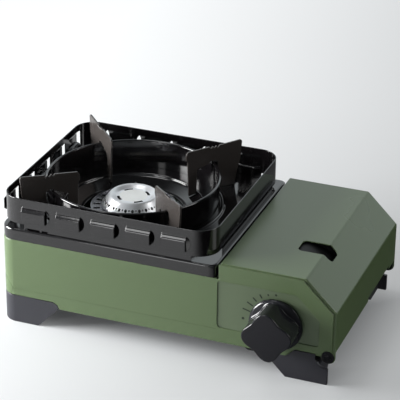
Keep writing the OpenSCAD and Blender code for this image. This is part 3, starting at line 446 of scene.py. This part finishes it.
show("bay_partition_sheet", eased("bay_partition", 0.0002), rolled_steel, "stove_body",
     "bare_steel", "bay_partition")


# ---------- Tray ----------
# The floor of the stove is a black-painted pressing with air slots under the burner and a
# trough that carries the container. Its lugs take the hinge pins.

show("base_tray_pressing", eased("base_tray", 0.0003), black_paint, "stove_body",
     "black_paint", "base_tray")


# ---------- Feet ----------
# Four moulded plastic feet wrap the body's lower corners. Their faces have a fine spark
# grain, their edges are polished by the mould, and one screw each goes up into the tray.

black_plastic = finish(
    "grained_black_plastic", film,
    {"Colour": (0.034, 0.034, 0.042, 1), "Second Colour": (0.040, 0.040, 0.048, 1),
     "Patch Scale": 25, "Peel Scale": 2600, "Roughness": 0.36, "Roughness Spread": 0.06},
    bump=(0.16, 0.0001))

ledge_in = 0.0025                          # how far the ledge's tip lies inside the foot's box
ledge_reach = 0.00024                      # a little more than the ledge is thick


def without_ledge(bm):
    """Takes off the thin ledge that a left foot's tab leaves outside its rounded corner."""
    tip_x = min(v.co.x for v in bm.verts) + ledge_in
    ends = (min(v.co.y for v in bm.verts) + ledge_in, max(v.co.y for v in bm.verts) - ledge_in)
    tips = [v for v in bm.verts
            if meets(v.co.x, tip_x) and any(meets(v.co.y, y) for y in ends)
            and len(v.link_edges) == 3
            and min(e.calc_length() for e in v.link_edges) < ledge_reach]
    beside = {v for tip in tips for face in tip.link_faces for v in face.verts}
    rim = [v for v in bm.verts if v in beside and v not in tips]
    bmesh.ops.delete(bm, geom=tips, context="VERTS")
    bmesh.ops.remove_doubles(bm, verts=rim, dist=ledge_reach)


for foot in ("foot_front_left", "foot_front_right", "foot_rear_left", "foot_rear_right"):
    show(foot + "_moulding",
         eased(foot, 0.0005, steps=3, trim=without_ledge if foot.endswith("left") else None),
         black_plastic, "stove_body", "black_plastic", foot)


# ---------- Screws ----------
# Zinc-plated cross-recessed screws: one up through each foot, four down through the two
# brackets, and two flat-headed ones through the rear panel's strap.

zinc = finish(
    "zinc_plating", brushed,
    {"Colour": (0.50, 0.50, 0.51, 1), "Second Colour": (0.40, 0.40, 0.42, 1),
     "Streaks": (1, 1, 1), "Scale": 300, "Roughness": 0.3, "Roughness Spread": 0.12},
    bump=(0.05, 0.00004), metallic=1)


def lumps(node):
    """The separate solids of one node, as lowest and highest corners."""
    bm = bmesh.new()
    bm.from_mesh(nodes[node].data)
    bmesh.ops.remove_doubles(bm, verts=bm.verts, dist=touch / 10)
    left, found = set(bm.verts), []
    while left:
        grown, edge_of = set(), [next(iter(left))]
        while edge_of:
            v = edge_of.pop()
            if v in grown:
                continue
            grown.add(v)
            edge_of += [e.other_vert(v) for e in v.link_edges]
        left -= grown
        found.append([Vector([f(v.co[k] for v in grown) for k in range(3)]) for f in (min, max)])
    bm.free()
    return sorted(found, key=lambda box: tuple(box[0]))


screw_turns = 48
cross_length, cross_half_width = 0.58, 0.15       # shares of the head's radius


def add_screw(bm, tip, top, shank, head, head_height, dome):
    """A screw from its tip to the top of its head, with a cross recess in the head."""
    axis = (top - tip).normalized()
    side = axis.orthogonal().normalized()
    up = axis.cross(side)
    length = (top - tip).length

    def cross_edge(k):
        t = (k * 360 / screw_turns + 45) % 90 - 45
        edge = head * cross_half_width / max(abs(math.sin(math.radians(t))), 1e-6)
        return min(edge, head * cross_length)

    # The profile from the tip to the floor of the recess: height, and radius at each step
    rings = [(0.0, lambda k: shank * 0.6), (shank * 0.5, lambda k: shank),
             (length - head_height, lambda k: shank), (length - head_height, lambda k: head),
             (length - head_height * 0.45, lambda k: head),
             (length - head_height * 0.2, lambda k: head - dome),
             (length, lambda k: max(head - dome * 3, head * 0.66)),
             (length, cross_edge), (length - head_height * 0.8, lambda k: cross_edge(k) * 0.7)]
    rows = []
    for height, radius in rings:
        row = []
        for k in range(screw_turns):
            a = math.radians(k * 360 / screw_turns)
            out = side * math.cos(a) + up * math.sin(a)
            row.append(bm.verts.new(tip + axis * height + out * radius(k)))
        rows.append(row)
    for low, high in zip(rows, rows[1:]):
        for k in range(screw_turns):
            j = (k + 1) % screw_turns
            bm.faces.new((low[k], low[j], high[j], high[k]))
    bm.faces.new(rows[0][::-1])
    bm.faces.new(rows[-1])


def show_screws(name, node, axis, head_last, head_height, dome):
    bm = bmesh.new()
    for low, high in lumps(node):
        middle = (low + high) / 2
        across = [k for k in range(3) if k != axis][0]
        head = (high[across] - low[across]) / 2
        tip, top = middle.copy(), middle.copy()
        tip[axis] = low[axis] if head_last else high[axis]
        top[axis] = high[axis] if head_last else low[axis]
        add_screw(bm, tip, top, head / 2, head, head_height, dome)
    bmesh.ops.recalc_face_normals(bm, faces=bm.faces)
    show(name, bm, zinc, "stove_body", "bare_steel", node)


show_screws("foot_screws_zinc", "foot_screws", axis=2, head_last=False,
            head_height=0.0016, dome=0.0004)
show_screws("bracket_screws_zinc", "bracket_screws", axis=2, head_last=True,
            head_height=0.0014, dome=0.0004)
show_screws("rear_screws_zinc", "rear_screws", axis=1, head_last=True,
            head_height=0.0006, dome=0.0001)


# ---------- Control knob ----------
# A moulded knob with four broad lobes on a round skirt, pressed onto the valve's spindle.
# The plastic is satin on the faces, and the edges of the lobes are rounded.

knob_plastic = finish(
    "satin_knob_plastic", film,
    {"Colour": (0.014, 0.014, 0.017, 1), "Second Colour": (0.017, 0.017, 0.021, 1),
     "Patch Scale": 40, "Peel Scale": 2400, "Roughness": 0.17, "Roughness Spread": 0.04},
    bump=(0.05, 0.0001))

lobe_count, lobe_mid, lobe_swing, lobe_turn = 4, 0.0181, 0.0022, 6
knob_face = knob_low.y
skirt_radius = (knob_high.x - knob_low.x) / 2
skirt_back, skirt_deep = knob_high.y, 0.0042
skirt_front = skirt_back - skirt_deep
edge_round, edge_steps = 0.0010, 6
knob_steps = 120


def lobes(k, inset):
    t = k * 360 / knob_steps
    return lobe_mid - inset + lobe_swing * math.cos(math.radians(lobe_count * (t - lobe_turn)))


def skirt(k, inset):
    return skirt_radius - inset


def quarter_round(radius, steps):
    """How far each step of a rounded edge lies behind the face, and inside the side."""
    turns = [math.radians(90 * step / steps) for step in range(steps + 1)]
    return [(radius * (1 - math.cos(a)), radius * (1 - math.sin(a))) for a in turns]


# The knob's profile from its face to its hollow: depth, outline, and how far inside that
rows = [(knob_face + behind, lobes, inside)
        for behind, inside in quarter_round(edge_round, edge_steps)]
rows += [(skirt_front - 0.0012, lobes, 0.0), (skirt_front - 0.0004, lobes, -0.0003),
         (skirt_front, lobes, -0.0011), (skirt_front + 0.0001, skirt, 0.0026),
         (skirt_front + 0.0007, skirt, 0.0012), (skirt_front + 0.0016, skirt, 0.0004),
         (skirt_front + 0.0027, skirt, 0.0),
         (skirt_back - 0.0004, skirt, 0.0), (skirt_back, skirt, 0.0004),
         (skirt_back, skirt, 0.006), (skirt_back - 0.003, skirt, 0.0075)]
bm = bmesh.new()
made = []
for depth, outline, inset in rows:
    row = []
    for k in range(knob_steps):
        a = math.radians(k * 360 / knob_steps)
        r = min(outline(k, inset), skirt_radius)
        row.append(bm.verts.new((knob_axis.x + r * math.cos(a), depth,
                                 knob_axis.z + r * math.sin(a))))
    made.append(row)
for near, far in zip(made, made[1:]):
    for k in range(knob_steps):
        j = (k + 1) % knob_steps
        bm.faces.new((near[k], near[j], far[j], far[k]))
bm.faces.new(made[0])
bm.faces.new(made[-1][::-1])
bmesh.ops.recalc_face_normals(bm, faces=bm.faces)
show("control_knob_moulding", bm, knob_plastic, "knob", "knob_plastic", "control_knob")


# ---------- Spindle, cam and igniter ----------
# The turned brass spindle carries a plastic cam behind the panel. The cam pushes the
# steel plunger of a piezo igniter, whose red silicone lead runs to the electrode.

turned_brass = finish(
    "turned_brass", brushed,
    {"Colour": (0.56, 0.40, 0.17, 1), "Second Colour": (0.46, 0.32, 0.13, 1),
     "Streaks": (1, 14, 1), "Scale": 60, "Roughness": 0.26, "Roughness Spread": 0.12},
    bump=(0.05, 0.00005), metallic=1)

silicone = finish(
    "red_silicone", film,
    {"Colour": (0.26, 0.05, 0.04, 1), "Second Colour": (0.21, 0.04, 0.03, 1),
     "Patch Scale": 50, "Peel Scale": 2000, "Roughness": 0.55, "Roughness Spread": 0.08},
    bump=(0.1, 0.0001))

show("valve_spindle_turned", eased("valve_spindle", 0.0003), turned_brass, "knob", "brass",
     "valve_spindle")
show("igniter_cam_moulding", eased("igniter_cam", 0.0002), black_plastic, "knob",
     "black_plastic", "igniter_cam")
show("piezo_igniter_case", eased("piezo_igniter", 0.0003), black_plastic, "stove_body",
     "black_plastic", "piezo_igniter")
show("igniter_plunger_pin", eased("igniter_plunger", 0.0001), rolled_steel, "plunger",
     "bare_steel", "igniter_plunger")
show("igniter_lead_sleeve", eased("igniter_lead", 0.0001), silicone, "stove_body",
     "lead_rubber", "igniter_lead")


# ---------- Governor ----------
# A die-cast pressure governor, dull grey from the mould, with a pressed steel cap. It is
# bolted to a folded bracket, and its snout takes the container's valve.

cast_alloy = finish(
    "cast_alloy", film,
    {"Colour": (0.46, 0.46, 0.47, 1), "Second Colour": (0.38, 0.38, 0.40, 1),
     "Patch Scale": 60, "Peel Scale": 900, "Roughness": 0.42, "Roughness Spread": 0.14},
    bump=(0.3, 0.0001), metallic=1)

show("governor_casting", eased("governor_body", 0.0005, steps=3), cast_alloy, "stove_body",
     "cast_alloy", "governor_body")
show("governor_cap_pressing", eased("governor_cap", 0.0006, steps=3), rolled_steel,
     "stove_body", "bare_steel", "governor_cap")
show("governor_bracket_sheet", eased("governor_bracket", 0.0002), rolled_steel, "stove_body",
     "bare_steel", "governor_bracket")


# ---------- Seat of the container ----------
# A bright plate round the snout, with four round magnets that hold the container's collar
# and a key that fits the notch in it.

magnet_nickel = finish(
    "nickel_magnets", film,
    {"Colour": (0.40, 0.39, 0.37, 1), "Second Colour": (0.34, 0.33, 0.32, 1),
     "Patch Scale": 80, "Peel Scale": 1500, "Roughness": 0.24, "Roughness Spread": 0.08},
    bump=(0.06, 0.00005), metallic=1)

show("can_seat_plate", eased("can_seat", 0.0002), bright_plating, "stove_body",
     "bright_steel", "can_seat")
show("seat_magnets_nickel", eased("seat_magnets", 0.0003), magnet_nickel, "stove_body",
     "bare_steel", "seat_magnets")
show("can_key_plate", eased("can_key", 0.0003), bright_plating, "stove_body",
     "bright_steel", "can_key")


# ---------- Gas pipe, nozzle and mixing tube ----------
# A bent brass pipe brings the gas from the governor to a turned nozzle, which blows into
# the flared mouth of the steel mixing tube. A folded bracket on the tray carries both.

show("gas_pipe_brass", eased("gas_pipe", 0), turned_brass, "stove_body", "brass",
     "gas_pipe")
show("nozzle_turned", eased("nozzle", 0.0003), turned_brass, "stove_body", "brass", "nozzle")
show("mixing_tube_steel", eased("mixing_tube", 0.0002), rolled_steel, "stove_body",
     "bare_steel", "mixing_tube")
show("burner_bracket_sheet", eased("burner_bracket", 0.0002), rolled_steel, "stove_body",
     "bare_steel", "burner_bracket")


# ---------- Heat panel ----------
# A bare aluminium strip reaches from beside the burner to the container, to keep its gas
# pressure up. It is bent from flat stock.

soft_aluminium = finish(
    "soft_aluminium", brushed,
    {"Colour": (0.70, 0.70, 0.71, 1), "Second Colour": (0.60, 0.60, 0.62, 1),
     "Streaks": (1, 18, 1), "Scale": 50, "Roughness": 0.32, "Roughness Spread": 0.12},
    bump=(0.05, 0.00005), metallic=1)

show("heat_panel_strip", eased("heat_panel", 0.0002), soft_aluminium, "stove_body",
     "heat_panel_sheet", "heat_panel")


# ---------- Burner ----------
# The burner's body and cap are pressed from aluminised steel with a satin sheen. Two rows
# of flame ports are drilled round the cap. Its middle is painted lighter, warmer and a little
# matter: a painted highlight for the creamy sheen on the cap's dome.

burner_alloy = finish(
    "aluminised_steel", film,
    {"Colour": (0.92, 0.93, 0.95, 1), "Second Colour": (0.86, 0.87, 0.89, 1),
     "Patch Scale": 70, "Peel Scale": 1600, "Roughness": 0.40, "Roughness Spread": 0.10},
    bump=(0.10, 0.0001), metallic=0.8)

# Painted highlight: a lighter, warmer colour for the cap's middle, standing in for the sheen on
# its dome.
painted_highlight_middle = finish(
    "painted_highlight_middle", film,
    {"Colour": (0.96, 0.95, 0.925, 1), "Second Colour": (0.92, 0.91, 0.885, 1),
     "Patch Scale": 120, "Peel Scale": 1600, "Roughness": 0.42, "Roughness Spread": 0.10},
    bump=(0.10, 0.0001), metallic=0.75)

# Painted shade: near black for the cap's inside, ports, slots and undersides.
painted_shade_inside = finish(
    "painted_shade_inside", film,
    {"Colour": (0.035, 0.033, 0.032, 1), "Second Colour": (0.020, 0.019, 0.019, 1),
     "Patch Scale": 90, "Peel Scale": 1600, "Roughness": 0.6, "Roughness Spread": 0.10},
    bump=(0.10, 0.0001), metallic=0.6)

cap_low, cap_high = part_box("burner_cap")
burner_axis = (cap_low + cap_high) / 2
middle_radius, port_depth, slot_radius = 0.0113, 0.0200, 0.0137
ports_low, ports_high = cap_low.z + 0.0030, cap_low.z + 0.0057
facing_up, facing_out = 0.5, 0.6           # shares of a face's normal that count as its way
cap_finishes = {"turned": 0, "middle": 1, "inside": 2}

stained_alloy = finish(
    "heat_stained_alloy", film,
    {"Colour": (0.34, 0.34, 0.36, 1), "Second Colour": (0.22, 0.22, 0.24, 1),
     "Patch Scale": 260, "Peel Scale": 1600, "Roughness": 0.26, "Roughness Spread": 0.10},
    bump=(0.10, 0.0001), metallic=1)

show("burner_body_pressing", eased("burner_body", 0.0002), stained_alloy, "stove_body",
     "burner_alloy", "burner_body")

# The cap keeps its turned surface; its inside, its ports, its slots and its faces that turn
# downward are painted near black: painted shade for the dark in these holes and under the cap.
cap_mesh = nodes["burner_cap"].data.copy()
cap_mesh.name = "burner_cap_pressing"
cap_mesh.materials.clear()
for material in (burner_alloy, painted_highlight_middle, painted_shade_inside):
    cap_mesh.materials.append(material)
for face in cap_mesh.polygons:
    out = Vector((face.center.x - burner_axis.x, face.center.y - burner_axis.y, 0))
    radius = out.length
    outward = face.normal.dot(out) / max(radius, 1e-6)
    in_port = (radius > port_depth and ports_low < face.center.z < ports_high
               and outward < facing_out)
    on_side = outward > facing_out and radius > slot_radius
    # Faces in the ports, and faces that turn neither up nor out, take the painted shade.
    if in_port or not (face.normal.z > facing_up or on_side):
        face.material_index = cap_finishes["inside"]
    # The middle of the cap's top takes the painted highlight.
    elif radius < middle_radius:
        face.material_index = cap_finishes["middle"]
cap = bpy.data.objects.new("burner_cap_pressing", cap_mesh)
bpy.context.scene.collection.objects.link(cap)
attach(cap, "stove_body")
nodes["burner_cap"].data.materials.clear()
nodes["burner_cap"].data.materials.append(burner_alloy)
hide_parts("burner_cap")


# ---------- Electrode ----------
# A steel wire in a white ceramic sleeve stands in the burner's flange; its bent tip points
# at the ports.

ceramic = finish(
    "white_ceramic", film,
    {"Colour": (0.78, 0.76, 0.70, 1), "Second Colour": (0.72, 0.69, 0.62, 1),
     "Patch Scale": 120, "Peel Scale": 1200, "Roughness": 0.35, "Roughness Spread": 0.1},
    bump=(0.1, 0.0001))

show("electrode_sleeve", eased("electrode_ceramic", 0.0003), ceramic, "stove_body",
     "white_ceramic", "electrode_ceramic")
show("electrode_wire_bent", eased("electrode_wire", 0.0001), rolled_steel, "stove_body",
     "bare_steel", "electrode_wire")


# ---------- Drip pan ----------
# A deep-drawn pan with a rolled-over skirt, dished round the burner and enamelled glossy
# black all over. A raised bead locates the ring that stands in it.

black_enamel = finish(
    "black_enamel", film,
    {"Colour": (0.005, 0.0045, 0.005, 1), "Second Colour": (0.007, 0.006, 0.007, 1),
     "Patch Scale": 18, "Peel Scale": 420, "Roughness": 0.10, "Roughness Spread": 0.04},
    bump=(0.10, 0.0002), specular=1.0)

pan_low, pan_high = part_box("drip_pan")
ring_low, ring_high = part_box("pot_ring")
ring_axis = (ring_low + ring_high) / 2
pan_turns = 288
pan_round_left, pan_round_right, least_round = 0.014, 0.004, 0.0004
skirt_foot, pan_floor = pan_low.z, at(0, 0, 84.8).z


def pan_outline(inset):
    """The pan's plan, as one point for each step of angle round the burner's centre."""
    low_x, high_x = pan_low.x + inset, pan_high.x - inset
    low_y, high_y = pan_low.y + inset, pan_high.y - inset
    points = []
    for k in range(pan_turns):
        a = math.tau * k / pan_turns
        ux, uy = math.cos(a), math.sin(a)
        reach_x = (high_x - ring_axis.x if ux > 0 else ring_axis.x - low_x) / max(abs(ux), 1e-9)
        reach_y = (high_y - ring_axis.y if uy > 0 else ring_axis.y - low_y) / max(abs(uy), 1e-9)
        t = min(reach_x, reach_y)
        x, y = ring_axis.x + t * ux, ring_axis.y + t * uy
        r = max((pan_round_left if ux < 0 else pan_round_right) - inset, least_round)
        cx = low_x + r if ux < 0 else high_x - r
        cy = low_y + r if uy < 0 else high_y - r
        outside = (x - cx) * (-1 if ux < 0 else 1) > 0 and (y - cy) * (-1 if uy < 0 else 1) > 0
        if outside:                        # slide back onto the round corner
            px, py = ring_axis.x - cx, ring_axis.y - cy
            b = px * ux + py * uy
            t = -b + math.sqrt(max(b * b - (px * px + py * py - r * r), 0))
            x, y = ring_axis.x + t * ux, ring_axis.y + t * uy
        points.append((x, y))
    return points


def circle(radius):
    r = radius / 1000
    return [(ring_axis.x + r * math.cos(math.tau * k / pan_turns),
             ring_axis.y + r * math.sin(math.tau * k / pan_turns)) for k in range(pan_turns)]


def stacked(loops):
    """A mesh of loops of points, each with its height, joined into one closed band."""
    bm = bmesh.new()
    made = [[bm.verts.new((x, y, z)) for x, y in points] for points, z in loops]
    for first, second in zip(made, made[1:] + made[:1]):
        for k in range(len(first)):
            j = (k + 1) % len(first)
            bm.faces.new((first[k], first[j], second[j], second[k]))
    bmesh.ops.recalc_face_normals(bm, faces=bm.faces)
    return bm


sheet_t, foot_chamfer = 0.0008, 0.0003
edge_r = 0.0020
loops = [(pan_outline(sheet_t), skirt_foot + foot_chamfer),
         (pan_outline(sheet_t * 0.75), skirt_foot), (pan_outline(sheet_t * 0.25), skirt_foot),
         (pan_outline(0), skirt_foot + foot_chamfer)]
loops += [(pan_outline(inside), pan_floor - below)
          for inside, below in quarter_round(edge_r, edge_steps)]
# The pressed profile from the bead inwards: radius and height above the floor, in mm
bead = [(75.9, 0.0), (75.5, 0.06), (75.2, 0.3), (74.8, 0.8), (74.3, 1.2), (73.7, 1.4),
        (73.1, 1.2), (72.6, 0.8), (72.2, 0.3), (71.9, 0.06), (71.5, 0.0)]
step_down = [(58.0, 0.0), (57.5, -0.08), (57.1, -0.3), (56.8, -0.65), (56.65, -1.1),
             (56.5, -1.6), (56.2, -2.1), (55.7, -2.45), (55.0, -2.7), (46.0, -5.6),
             (45.0, -5.95), (44.2, -6.2), (43.4, -6.3), (42.2, -6.3), (41.7, -6.4),
             (41.5, -6.7), (41.7, -7.1)]
under = [(44.0, -7.1), (57.8, -3.1), (58.2, -0.8)]
loops += [(circle(r), pan_floor + z / 1000) for r, z in bead + step_down + under]
# Back out under the floor, and round the inside of the folded edge to the skirt's foot
loops += [(circle(75.0), pan_floor - sheet_t), (pan_outline(0.0032), pan_floor - sheet_t),
          (pan_outline(0.0016), pan_floor - 0.0011), (pan_outline(0.0010), pan_floor - 0.0019),
          (pan_outline(sheet_t), pan_floor - 0.0030)]
show("drip_pan_enamelled", stacked(loops), black_enamel, "pot_support", "black_enamel",
     "drip_pan")


# ---------- Windshield ----------
# A band of enamelled sheet stands on the pan. Its vents are lanced and pushed out as
# bridges, and its top edge is hemmed.

vent_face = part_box("windshield")[0].y


def on_vent_face(p):
    """The folds round the outer faces of the vents in the front wall."""
    return meets(p.y, vent_face, 2 * touch)


show("windshield_enamelled", eased("windshield", 0.00036, [(on_vent_face, 0.0009)], steps=3),
     black_enamel, "pot_support", "black_enamel", "windshield")


# ---------- Pot ring and arms ----------
# A rolled band round the burner carries four stamped arms, notched on top so that a pot
# can't slide. All are enamelled black with the pan, but the arms' enamel is painted a
# lighter brownish black: a painted reflection of the bright surroundings that their faces
# mirror.

band_out, band_in, band_chamfer = 70.4, 69.2, 0.3
roll_r, roll_mid, roll_foot = 1.2, 70.5, 1.35
roll_z = ring_high.z * 1000 - roll_r
ring_foot = ring_low.z + band_chamfer / 1000
loops = [(circle(band_in + band_chamfer), ring_low.z), (circle(band_in), ring_foot)]
loops += [(circle(roll_mid + roll_r * math.cos(math.radians(a))),
           (roll_z + roll_r * math.sin(math.radians(a))) / 1000) for a in range(195, -70, -15)]
loops += [(circle(band_out), (roll_z - roll_foot) / 1000), (circle(band_out), ring_foot),
          (circle(band_out - band_chamfer), ring_low.z)]
show("pot_ring_enamelled", stacked(loops), black_enamel, "pot_support", "black_enamel",
     "pot_ring")

# Painted reflection: a lighter brownish black standing in for the bright surroundings mirrored
# in the arms.
arm_enamel_painted_sheen = finish(
    "arm_enamel_painted_sheen", film,
    {"Colour": (0.052, 0.046, 0.043, 1), "Second Colour": (0.060, 0.053, 0.049, 1),
     "Patch Scale": 30, "Peel Scale": 700, "Roughness": 0.20, "Roughness Spread": 0.06},
    bump=(0.10, 0.0002), specular=0.7)

for arm in ("arm_front_left", "arm_front_right", "arm_rear_right", "arm_rear_left"):
    show(arm + "_enamelled", eased(arm, 0.0003, steps=3), arm_enamel_painted_sheen, "pot_support",
         "black_enamel", arm)


# ---------- Floor ----------
# A plain pale table top that runs out behind the stove. Its glow is painted brightest towards
# the window side at the left, a painted falloff of the window light, and to the camera it is
# brighter far away. The glow fades out under and round the stove, a painted shadow that
# deepens the lamps' own shadow there. Metal and enamel mirror it as pale too, but held back
# towards the right: a painted darker reflection.

floor_mesh = bpy.data.meshes.new("floor")
reach = 6.0
floor_mesh.from_pydata([(-reach, -reach, 0), (reach, -reach, 0), (reach, reach, 0),
                        (-reach, reach, 0)], [], [(0, 1, 2, 3)])
floor = bpy.data.objects.new("floor", floor_mesh)
bpy.context.scene.collection.objects.link(floor)


def ramp(tree, value, start, end, low, high, kind="SMOOTHSTEP"):
    """Runs from low to high while the value that it is given runs from start to end."""
    node = tree.nodes.new("ShaderNodeMapRange")
    node.interpolation_type = kind
    for label, number in (("From Min", start), ("From Max", end), ("To Min", low),
                          ("To Max", high)):
        node.inputs[label].default_value = number
    tree.links.new(value, node.inputs["Value"])
    return node.outputs["Result"]


def mixed(tree, share, first, second, target):
    """Puts a mix of two shaders into the output of a material or of the world."""
    mix = tree.nodes.new("ShaderNodeMixShader")
    for source, socket in zip((share, first, second), mix.inputs):
        tree.links.new(source, socket)
    tree.links.new(mix.outputs["Shader"], target.inputs["Surface"])


pale = bpy.data.materials.new("pale_table")
pale.use_nodes = True
tree = pale.node_tree
shader = tree.nodes["Principled BSDF"]
shader.inputs["Roughness"].default_value = 0.6
shader.inputs["Specular IOR Level"].default_value = 0.2
shader.inputs["Base Color"].default_value = (0.80, 0.82, 0.83, 1)
glow = tree.nodes.new("ShaderNodeEmission")
glow.inputs["Color"].default_value = (0.97, 0.99, 1.0, 1)
ray = tree.nodes.new("ShaderNodeLightPath")
apart = tree.nodes.new("ShaderNodeSeparateXYZ")
tree.links.new(tree.nodes.new("ShaderNodeTexCoord").outputs["Object"], apart.inputs["Vector"])
x, y = apart.outputs["X"], apart.outputs["Y"]

half_width, half_depth = 0.135, 0.066      # the stove's plan, within which no glow is seen
# Painted light: the glow falls off from the left, as the window light would.
painted_window_falloff = ramp(tree, x, -0.32, 0.14, 1.22, 0.55, "LINEAR")
# Painted reflection: in glossy rays the glow is held back towards the right, so the stove
# mirrors a darker table there.
painted_reflection_ramp = ramp(tree, x, -0.04, 0.18, 0.18, 1.0)
far_away = ramp(tree, y, -0.05, 0.55, 0.0, 0.20)
painted_reflection_shade = maths(tree, "MULTIPLY", ray.outputs["Is Glossy Ray"], painted_reflection_ramp)
strength = maths(tree, "MULTIPLY", painted_window_falloff, maths(tree, "SUBTRACT", 1.0, painted_reflection_shade))
tree.links.new(maths(tree, "MULTIPLY_ADD", ray.outputs["Is Camera Ray"], far_away, strength),
               glow.inputs["Strength"])
# Painted shadow: the camera sees little glow over and just round the stove's plan.
beyond = maths(tree, "MAXIMUM",
               maths(tree, "SUBTRACT", maths(tree, "ABSOLUTE", x), half_width),
               maths(tree, "SUBTRACT", maths(tree, "ABSOLUTE", y), half_depth))
glow_share_painted_shadow = maths(tree, "MULTIPLY", ray.outputs["Is Camera Ray"],
             ramp(tree, beyond, -0.02, 0.05, 0.04, 0.60))
reflected = maths(tree, "MAXIMUM", ray.outputs["Is Glossy Ray"],
                  ray.outputs["Is Transmission Ray"])
mixed(tree, maths(tree, "MAXIMUM", glow_share_painted_shadow, reflected), shader.outputs["BSDF"],
      glow.outputs["Emission"], tree.nodes["Material Output"])
floor_mesh.materials.append(pale)


# ---------- Studio light ----------
# Soft light as in a plain product studio: one box low at the left, one high behind it, one
# at the right side and a narrow strip in front, in a dim even surrounding. Pale screens
# behind the stove and above its front are there to be mirrored.

lit_place = Vector((0, 0, 0.05))


def softbox(name, place, width, height, power):
    """A rectangular lamp that is turned towards the stove."""
    data = bpy.data.lights.new(name, "AREA")
    data.shape = "RECTANGLE"
    data.size = width
    data.size_y = height
    data.energy = power
    lamp = bpy.data.objects.new(name, data)
    bpy.context.scene.collection.objects.link(lamp)
    lamp.location = place
    lamp.rotation_euler = (lit_place - Vector(place)).to_track_quat("-Z", "Y").to_euler()


softbox("left_box", (-0.68, -0.26, 0.25), 0.40, 0.36, 12)
softbox("overhead_box", (-0.7, 0.2, 2.0), 0.6, 0.6, 5)
softbox("right_side_box", (1.2, 0.25, 0.75), 0.5, 0.5, 3.8)
softbox("front_strip", (-0.50, -1.35, 0.60), 0.22, 0.60, 1.4)

world = bpy.data.worlds.new("studio")
bpy.context.scene.world = world
world.use_nodes = True
tree = world.node_tree
surround = tree.nodes["Background"]
surround.inputs["Color"].default_value = (0.95, 0.98, 1.0, 1)
surround.inputs["Strength"].default_value = 0.13
screens = tree.nodes.new("ShaderNodeBackground")
screens.inputs["Color"].default_value = (0.90, 0.97, 1.0, 1)
direction = tree.nodes.new("ShaderNodeTexCoord").outputs["Generated"]


def towards(way):
    """How nearly a direction of the world points the given way."""
    node = tree.nodes.new("ShaderNodeVectorMath")
    node.operation = "DOT_PRODUCT"
    tree.links.new(direction, node.inputs[0])
    node.inputs[1].default_value = way
    return node.outputs["Value"]


behind = ramp(tree, towards((-0.35, 0.93, -0.60)), 0.05, 0.45, 0.05, 1.0)
above = ramp(tree, towards((-0.30, -0.55, 0.78)), 0.70, 0.97, 0.0, 0.32)
tree.links.new(maths(tree, "MAXIMUM", behind, above), screens.inputs["Strength"])
ray = tree.nodes.new("ShaderNodeLightPath")
reflected = maths(tree, "MAXIMUM", ray.outputs["Is Glossy Ray"],
                  ray.outputs["Is Transmission Ray"])
mixed(tree, maths(tree, "MAXIMUM", ray.outputs["Is Camera Ray"], reflected),
      surround.outputs["Background"], screens.outputs["Background"], tree.nodes["World Output"])


# ---------- Camera ----------
# Above and to the right of the stove's front, with a long lens.

azimuth, elevation, roll = (math.radians(a) for a in (20.739, 25.936, 0.697))
camera_place = (0.48824, -1.27847, 0.76712)
back = Vector((math.sin(azimuth) * math.cos(elevation), -math.cos(azimuth) * math.cos(elevation),
               math.sin(elevation)))
right = (-back).cross(Vector((0, 0, 1))).normalized()
up = right.cross(-back)
across = math.cos(roll) * right + math.sin(roll) * up
upward = math.cos(roll) * up - math.sin(roll) * right
view = bpy.data.cameras.new("view")
view.sensor_width = 36
view.lens = 170.633
camera = bpy.data.objects.new("view", view)
bpy.context.scene.collection.objects.link(camera)
camera.matrix_world = Matrix.Translation(camera_place) @ Matrix(
    (across, upward, back)).transposed().to_4x4()
bpy.context.scene.camera = camera
bpy.context.scene.view_settings.view_transform = "Standard"
